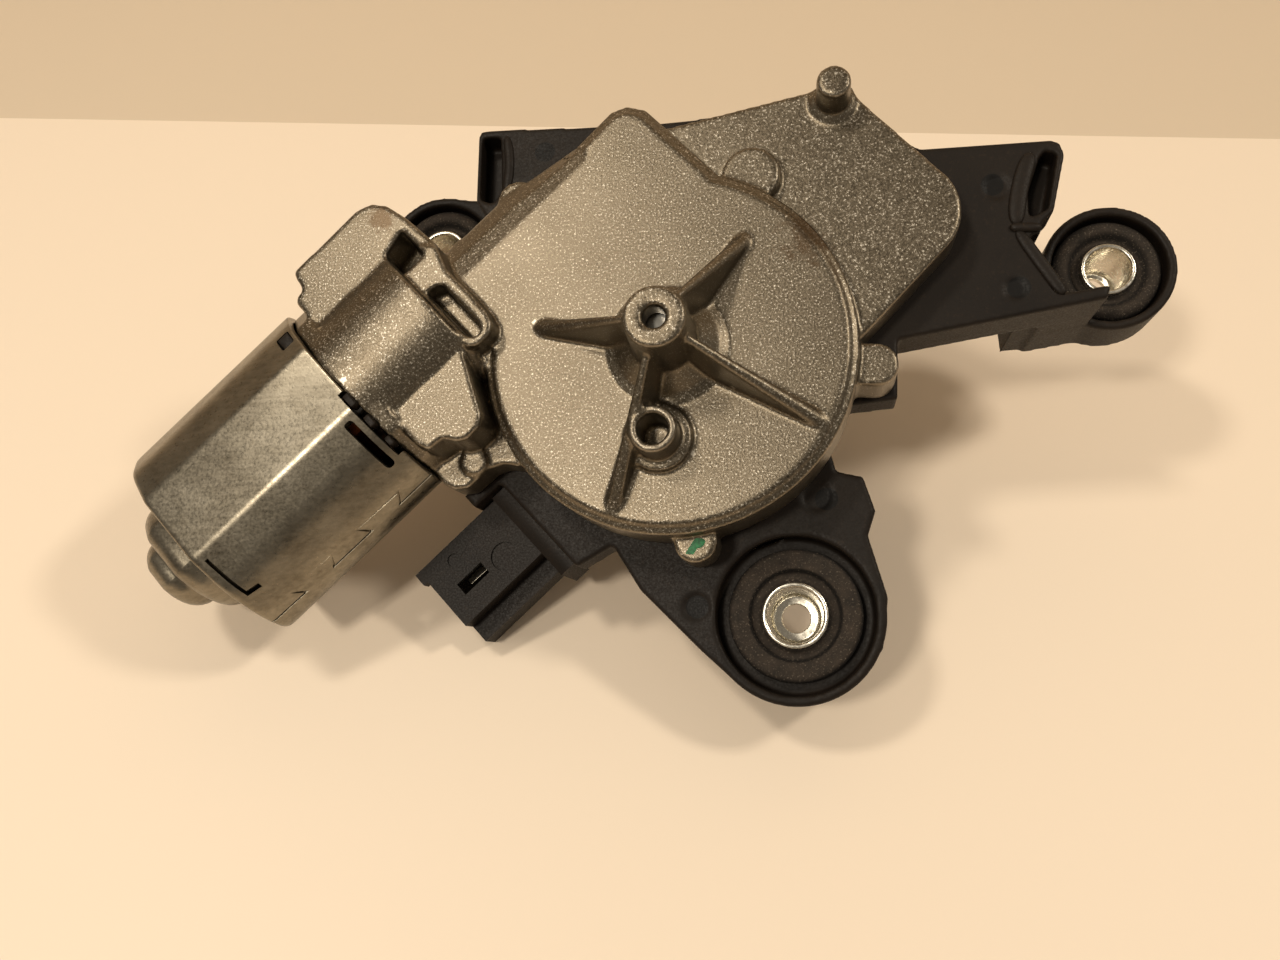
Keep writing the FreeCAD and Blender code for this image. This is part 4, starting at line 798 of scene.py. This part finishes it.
# Name, middle (X, height, station) and half sizes of each lug, in the motor's frame
CARD_LUGS = (
    ("card_lug_left", (-14.6, 15.4, 58.1), (1.8, 1.5)),
    ("card_lug_middle", (6.8, 18.0, 56.0), (1.7, 0.8)),
    ("card_lug_right", (12.2, 15.6, 56.1), (1.5, 0.8)),
    ("card_lug_side", (17.4, 13.0, 56.1), (1.2, 0.7)),
)
# Scale and rise of a lug's outline from its foot to its top
LUG_LEVELS = ((0.0, -2.4), (1.0, -2.4), (1.0, 0.0), (0.9, 0.35), (0.7, 0.5), (0.0, 0.5))
LUG_CUT = 0.5


def card_lugs():
    """Black lugs of the brush card that show in the notches of the can's front edge.

    Each is its rounded outline scaled from level to level, and closed at its foot and its top.
    """
    for name, (x, height, station), (wide, long) in CARD_LUGS:
        side = rounded_box(-wide, -long, wide, long, LUG_CUT)
        rows = []
        for scale, rise in LUG_LEVELS:
            level = np.full(len(side), height + rise)
            rows.append(np.column_stack([x + side[:, 0] * scale, level, station + side[:, 1] * scale]))
        add_piece(name, np.stack(rows), MOTOR, "black_plastic", "base")


# Corners of the bushes' upper edge from their outside in: distance in, height and cut
WIDE_RIM = ((0.0, -1.3, 0.7), (0.8, -0.5, 0.6), (4.4, -0.7, 0.5), (5.0, -2.6, 0.6))
SMALL_RIM = ((0.0, -1.8, 1.5), (1.4, -0.5, 1.2), (3.2, -0.5, 1.2), (4.4, -2.6, 1.0))
GROOVE_DEPTH = 3.5
RUBBER_FIT = 0.03


def grommet(side, rubber, sleeve):
    """A moulded rubber bush: a ring with a groove for the ear's web and a rounded, dished top."""
    fit = sleeve + RUBBER_FIT
    groove = rubber - GROOVE_DEPTH
    rim = WIDE_RIM if side == "lower" else SMALL_RIM
    corners = [
        (fit, -14.1, 0.3), (rubber, -14.1, 1.2), (rubber, -7.85, 0.4), (groove, -7.85, 0.3),
        (groove, -4.25, 0.3), (rubber, -4.25, 0.5),
        *((rubber - inwards, height, cut) for inwards, height, cut in rim),
        (fit + 0.8, -2.6, 0.5), (fit, -1.8, 0.3),
    ]
    points = spun(rounded_line(corners, closed=True), 96)
    piece = add_piece(
        "rubber_bush_" + side, points, ear_frame(side), "rubber", "base", (True, True))
    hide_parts("grommet_" + side)


def sleeve_cup(side, radius):
    """A drawn steel cup: a tapered wall with a rolled lip, and a floor with the screw's hole."""
    foot = -SLEEVE_LENGTH
    floor = foot + SLEEVE_FLOOR
    corners = [
        (SCREW_HOLE, foot, 0.2), (radius - 0.7, foot, 1.4), (radius, -13.0, 2.0), (radius, -0.9, 0.3),
        (radius, 0.0, 0.5), (radius - 1.0, 0.0, 0.5), (radius - 1.1, -1.2, 0.6),
        (radius - 1.6, floor, 1.0), (SCREW_HOLE, floor, 0.3),
    ]
    points = spun(rounded_line(corners, closed=True), 80)
    piece = add_piece(
        "drawn_sleeve_" + side, points, ear_frame(side), "bright_zinc", "base", (True, True))
    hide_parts("sleeve_" + side)


THREAD_RADIUS = 4.0
THREAD_DEPTH = 0.6
THREAD_ROWS = 100
CONE_RADIUS = 4.4
CONE_RISE = 0.6
CONE_LENGTH = 7.0
SERRATIONS = 36
SERRATION_DEPTH = 0.25


def output_shaft(sizes):
    """The output shaft, with a rolled thread and a serrated cone.

    The thread takes its depth off the radius once per pitch of height and turn, and the cone loses
    a wave of the serrations' depth round its angle.
    """
    low = SHAFT_END
    thread = np.linspace(low + 0.8, low + 11.6, THREAD_ROWS)
    cone = np.linspace(low + 12.0, low + 19.0, 16)
    profile = np.vstack([
        [(0.0, low), (3.3, low)],
        np.column_stack([np.full(THREAD_ROWS, THREAD_RADIUS), thread]),
        [(THREAD_RADIUS, low + 11.9)],
        np.column_stack([CONE_RADIUS + (cone - cone[0]) * CONE_RISE / CONE_LENGTH, cone]),
        [(SHAFT_RADIUS, low + 19.2), (SHAFT_RADIUS, -14.4), (3.0, -14.4), (3.0, -6.9), (0.0, -6.9)],
    ])

    def wave(height, angle):
        turn = (height - thread[0]) / sizes.thread_pitch - angle / FULL_TURN
        groove = np.abs(2 * (turn - np.floor(turn)) - 1) * THREAD_DEPTH
        serration = SERRATION_DEPTH * (0.5 - 0.5 * np.cos(SERRATIONS * angle))
        threaded = (height >= thread[0]) & (height <= thread[-1])
        tapered = (height >= cone[0]) & (height <= cone[-1])
        return -(groove * threaded + serration * tapered)

    place = CASTING @ Matrix.Translation((OUTPUT_PLACE[0], OUTPUT_PLACE[1], 0.0))
    piece = add_piece("threaded_shaft", spun(profile, 144, wave), place, "steel", "output")
    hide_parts("output_shaft")


# Stage

# The camera in the casting's frame: its place in millimetres, and its axes
CAMERA_PLACE = (28.2, -66.6, 212.5)
CAMERA_RIGHT = (0.9875, 0.0, -0.1578)
CAMERA_UP = (0.0276, 0.9846, 0.1725)
LENS = 29.81
SENSOR = 36.0
PICTURE = (1280.0, 960.0)
# Pixels where the table's far edge crosses the left and right sides of the picture
FAR_EDGE = ((0.0, 118.0), (1280.0, 139.0))
# Reach of the table to the sides and toward the camera, and the floor's depth and the wall's height
# behind it, in metres
TABLE_SIDES = 1.2
TABLE_DEPTH = 1.6
FLOOR_DEPTH = 0.35
WALL_HEIGHT = 1.4
# Place in casting millimetres that the lamps point at, and the way to each in the part's frame
LAMP_AIM = (0.0, 0.0, -20.0)
LAMP_SIZE = 0.12
TOWARD_LEFT = (-0.38, -0.48, 0.79)
TOWARD_BACK = (-0.46, 0.0, 0.885)
TOWARD_RIGHT = (0.6, 0.05, 0.76)


def casting_point(x, y, z):
    """Place in metres of a point given in casting millimetres."""
    return CASTING @ Vector((x, y, z))


def camera_turn():
    """The camera's axes as columns."""
    right, up = ((CASTING.to_3x3() @ Vector(v)).normalized() for v in (CAMERA_RIGHT, CAMERA_UP))
    return Matrix((right, up, right.cross(up))).transposed()


def floor_point(x, y):
    """Where the camera's ray through a pixel meets the floor."""
    scale = SENSOR / LENS / PICTURE[0]
    ray = camera_turn() @ Vector(((x - PICTURE[0] / 2) * scale, (PICTURE[1] / 2 - y) * scale, -1.0))
    start = casting_point(*CAMERA_PLACE)
    return start - ray * (start.z / ray.z)


def make_camera():
    """The photograph's view."""
    data = bpy.data.cameras.new("Camera")
    data.lens = LENS
    data.sensor_width = SENSOR
    data.clip_start = 0.01
    camera = linked("Camera", data)
    camera.matrix_world = Matrix.Translation(casting_point(*CAMERA_PLACE)) @ camera_turn().to_4x4()
    bpy.context.scene.camera = camera


def stage_sheet(name, points, colour, rough):
    """A plain painted sheet of the stage, from a grid of places in metres."""
    material = bpy.data.materials.new(name + "_paint")
    material.use_nodes = True
    shader = material.node_tree.nodes["Principled BSDF"]
    shader.inputs["Base Color"].default_value = colour
    shader.inputs["Roughness"].default_value = rough
    rows, columns = points.shape[:2]
    mesh = bpy.data.meshes.new(name)
    mesh.from_pydata(points.reshape(-1, 3).tolist(), [], grid_faces(rows, columns, False, False).tolist())
    mesh.materials.append(material)
    linked(name, mesh)


def make_floor(looks):
    """A pale table up to its far edge, and behind it a slightly darker floor and wall."""
    left, right = (np.array(floor_point(*pixel)) for pixel in FAR_EDGE)
    along = (right - left) / np.linalg.norm(right - left)
    away = np.array([-along[1], along[0], 0.0])
    up = np.array([0.0, 0.0, 1.0])
    far = np.stack([left - along * TABLE_SIDES, right + along * TABLE_SIDES])
    stage_sheet("Table", np.stack([far - away * TABLE_DEPTH, far]), looks.table_colour, 0.55)
    corner = far + away * FLOOR_DEPTH
    stage_sheet("Wall", np.stack([far, corner, corner + up * WALL_HEIGHT]), looks.wall_colour, 0.7)


def make_lights(looks):
    """Three lamps above the bench and a dim even room."""
    aim = casting_point(*LAMP_AIM)
    for name, toward, power in (
        ("Left_lamp", TOWARD_LEFT, looks.left_power),
        ("Back_lamp", TOWARD_BACK, looks.back_power),
        ("Right_lamp", TOWARD_RIGHT, looks.right_power),
    ):
        place = aim + Vector(toward)
        data = bpy.data.lights.new(name, "AREA")
        data.size = LAMP_SIZE
        data.energy = power
        data.color = looks.lamp_colour[:3]
        lamp = linked(name, data)
        lamp.location = place
        lamp.rotation_mode = "QUATERNION"
        lamp.rotation_quaternion = (aim - place).to_track_quat("-Z", "Y")
    world = bpy.data.worlds.new("Room")
    world.use_nodes = True
    room = world.node_tree.nodes["Background"]
    room.inputs["Color"].default_value = looks.room_colour
    room.inputs["Strength"].default_value = looks.room_strength
    bpy.context.scene.world = world
    bpy.context.scene.view_settings.view_transform = "Standard"


# Settings, operators and panel

COLOUR = {"subtype": "COLOR", "size": 4, "min": 0.0, "max": 1.0}


class WiperLooks(bpy.types.PropertyGroup):
    """Colours and light levels."""
    grit_height: bpy.props.FloatProperty(
        name="Grit height", default=0.08, min=0.0, max=0.5,
        description="Relief of the blasted skin in millimetres")
    table_colour: bpy.props.FloatVectorProperty(
        name="Table", description="Colour of the table", default=linear("#f6e6d2"), **COLOUR)
    wall_colour: bpy.props.FloatVectorProperty(
        name="Wall", default=linear("#dccbb4"), **COLOUR,
        description="Colour of the floor and wall behind the table")
    lamp_colour: bpy.props.FloatVectorProperty(
        name="Lamps", description="Colour of the lamps", default=linear("#fff3e0"), **COLOUR)
    room_colour: bpy.props.FloatVectorProperty(
        name="Room", description="Colour of the room's even light", default=linear("#f6e9d6"), **COLOUR)
    left_power: bpy.props.FloatProperty(
        name="Left lamp", description="Power of the left lamp", default=3.9, min=0.0, subtype="POWER")
    back_power: bpy.props.FloatProperty(
        name="Back lamp", description="Power of the lamp behind it", default=2.8, min=0.0, subtype="POWER")
    right_power: bpy.props.FloatProperty(
        name="Right lamp", description="Power of the right lamp", default=2.9, min=0.0, subtype="POWER")
    room_strength: bpy.props.FloatProperty(
        name="Room light", description="Strength of the room's even light", default=0.24, min=0.0)


class WiperSizes(bpy.types.PropertyGroup):
    """Sizes of the surfaces, in millimetres."""
    cast_grain: bpy.props.FloatProperty(
        name="Casting cube", default=0.5, min=0.3, max=2.0,
        description="Cube size of the casting's filleted copy, in millimetres")
    mould_grain: bpy.props.FloatProperty(
        name="Moulding cube", default=0.5, min=0.3, max=2.0,
        description="Cube size of the bracket's filleted copy, in millimetres")
    seam_width: bpy.props.FloatProperty(
        name="Seam width", default=0.5, min=0.1, max=1.0,
        description="Width of the can's dovetail seam, in millimetres")
    seam_depth: bpy.props.FloatProperty(
        name="Seam depth", default=0.45, min=0.1, max=1.2,
        description="Depth of the can's dovetail seam, in millimetres")
    socket_bevel: bpy.props.FloatProperty(
        name="Socket bevel", default=0.35, min=0.1, max=0.6,
        description="Bevel of the plug socket's edges, in millimetres")
    thread_pitch: bpy.props.FloatProperty(
        name="Thread pitch", default=1.25, min=0.5, max=2.0,
        description="Pitch of the shaft's thread, in millimetres")


class WIPER_OT_finish_nodes(bpy.types.Operator):
    """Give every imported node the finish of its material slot"""
    bl_idname = "wiper.finish_nodes"
    bl_label = "Finish the packed nodes"

    def execute(self, context):
        make_finishes(context.scene.wiper_looks)
        for part in frame["record"]["subparts"]:
            mesh = nodes[part["node"]].data
            mesh.materials.clear()
            mesh.materials.append(finishes[part["material_slot"]])
        return {"FINISHED"}


class WIPER_OT_housing(bpy.types.Operator):
    """Make the die-cast housing with its filleted edges, and the paint dab on its lug"""
    bl_idname = "wiper.housing"
    bl_label = "Gear housing"

    def execute(self, context):
        cube = context.scene.wiper_sizes.cast_grain
        fillers = casting_fillers()
        rounded_copy("gear_housing", "casting_shell", cube, 4, "cast_aluminium", fillers)
        paint_dab()
        return {"FINISHED"}


class WIPER_OT_bracket(bpy.types.Operator):
    """Make the moulded bracket with its filleted edges and low ridges, and the plug socket"""
    bl_idname = "wiper.bracket"
    bl_label = "Bracket and socket"

    def execute(self, context):
        sizes = context.scene.wiper_sizes
        rounded_copy("bracket_cover", "bracket_shell", sizes.mould_grain, 2, "black_plastic")
        for values in RIDGES:
            ridge(*values)
        bevelled_copy("connector_shell", "socket_shell", sizes.socket_bevel, "black_plastic")
        return {"FINISHED"}


class WIPER_OT_motor(bpy.types.Operator):
    """Make the rolled can, its end dome and the lugs that show at its front edge"""
    bl_idname = "wiper.motor"
    bl_label = "Motor can"

    def execute(self, context):
        motor_can(context.scene.wiper_sizes)
        can_end()
        card_lugs()
        return {"FINISHED"}


class WIPER_OT_ears(bpy.types.Operator):
    """Make the rubber bush and drawn sleeve of each ear"""
    bl_idname = "wiper.ears"
    bl_label = "Bushes and sleeves"

    def execute(self, context):
        for side, (rubber, sleeve) in EAR_SIZES.items():
            grommet(side, rubber, sleeve)
            sleeve_cup(side, sleeve)
        return {"FINISHED"}


class WIPER_OT_shaft(bpy.types.Operator):
    """Make the output shaft with its thread and serrations"""
    bl_idname = "wiper.shaft"
    bl_label = "Output shaft"

    def execute(self, context):
        output_shaft(context.scene.wiper_sizes)
        return {"FINISHED"}


class WIPER_OT_stage(bpy.types.Operator):
    """Make the camera, the table and the lights"""
    bl_idname = "wiper.stage"
    bl_label = "Stage"

    def execute(self, context):
        looks = context.scene.wiper_looks
        make_camera()
        make_floor(looks)
        make_lights(looks)
        return {"FINISHED"}


PIECES = (WIPER_OT_housing, WIPER_OT_bracket, WIPER_OT_motor, WIPER_OT_ears, WIPER_OT_shaft)


class WIPER_PT_panel(bpy.types.Panel):
    """Settings and operators of the wiper motor"""
    bl_label = "Wiper motor"
    bl_idname = "WIPER_PT_panel"
    bl_space_type = "VIEW_3D"
    bl_region_type = "UI"
    bl_category = "Wiper motor"

    def draw(self, context):
        for group in (context.scene.wiper_sizes, context.scene.wiper_looks):
            box = self.layout.box()
            for setting in group.__annotations__:
                box.prop(group, setting)
        for operator in (WIPER_OT_finish_nodes, *PIECES, WIPER_OT_stage):
            self.layout.operator(operator.bl_idname)


CLASSES = (WiperLooks, WiperSizes, WIPER_OT_finish_nodes, *PIECES, WIPER_OT_stage, WIPER_PT_panel)


def register():
    for kind in CLASSES:
        bpy.utils.register_class(kind)
    bpy.types.Scene.wiper_looks = bpy.props.PointerProperty(type=WiperLooks)
    bpy.types.Scene.wiper_sizes = bpy.props.PointerProperty(type=WiperSizes)


def unregister():
    del bpy.types.Scene.wiper_sizes
    del bpy.types.Scene.wiper_looks
    for kind in reversed(CLASSES):
        bpy.utils.unregister_class(kind)


def main():
    register()
    bpy.ops.wiper.finish_nodes()
    bpy.ops.wiper.housing()
    bpy.ops.wiper.bracket()
    bpy.ops.wiper.motor()
    bpy.ops.wiper.ears()
    bpy.ops.wiper.shaft()
    bpy.ops.wiper.stage()


if __name__ == "__main__":
    main()
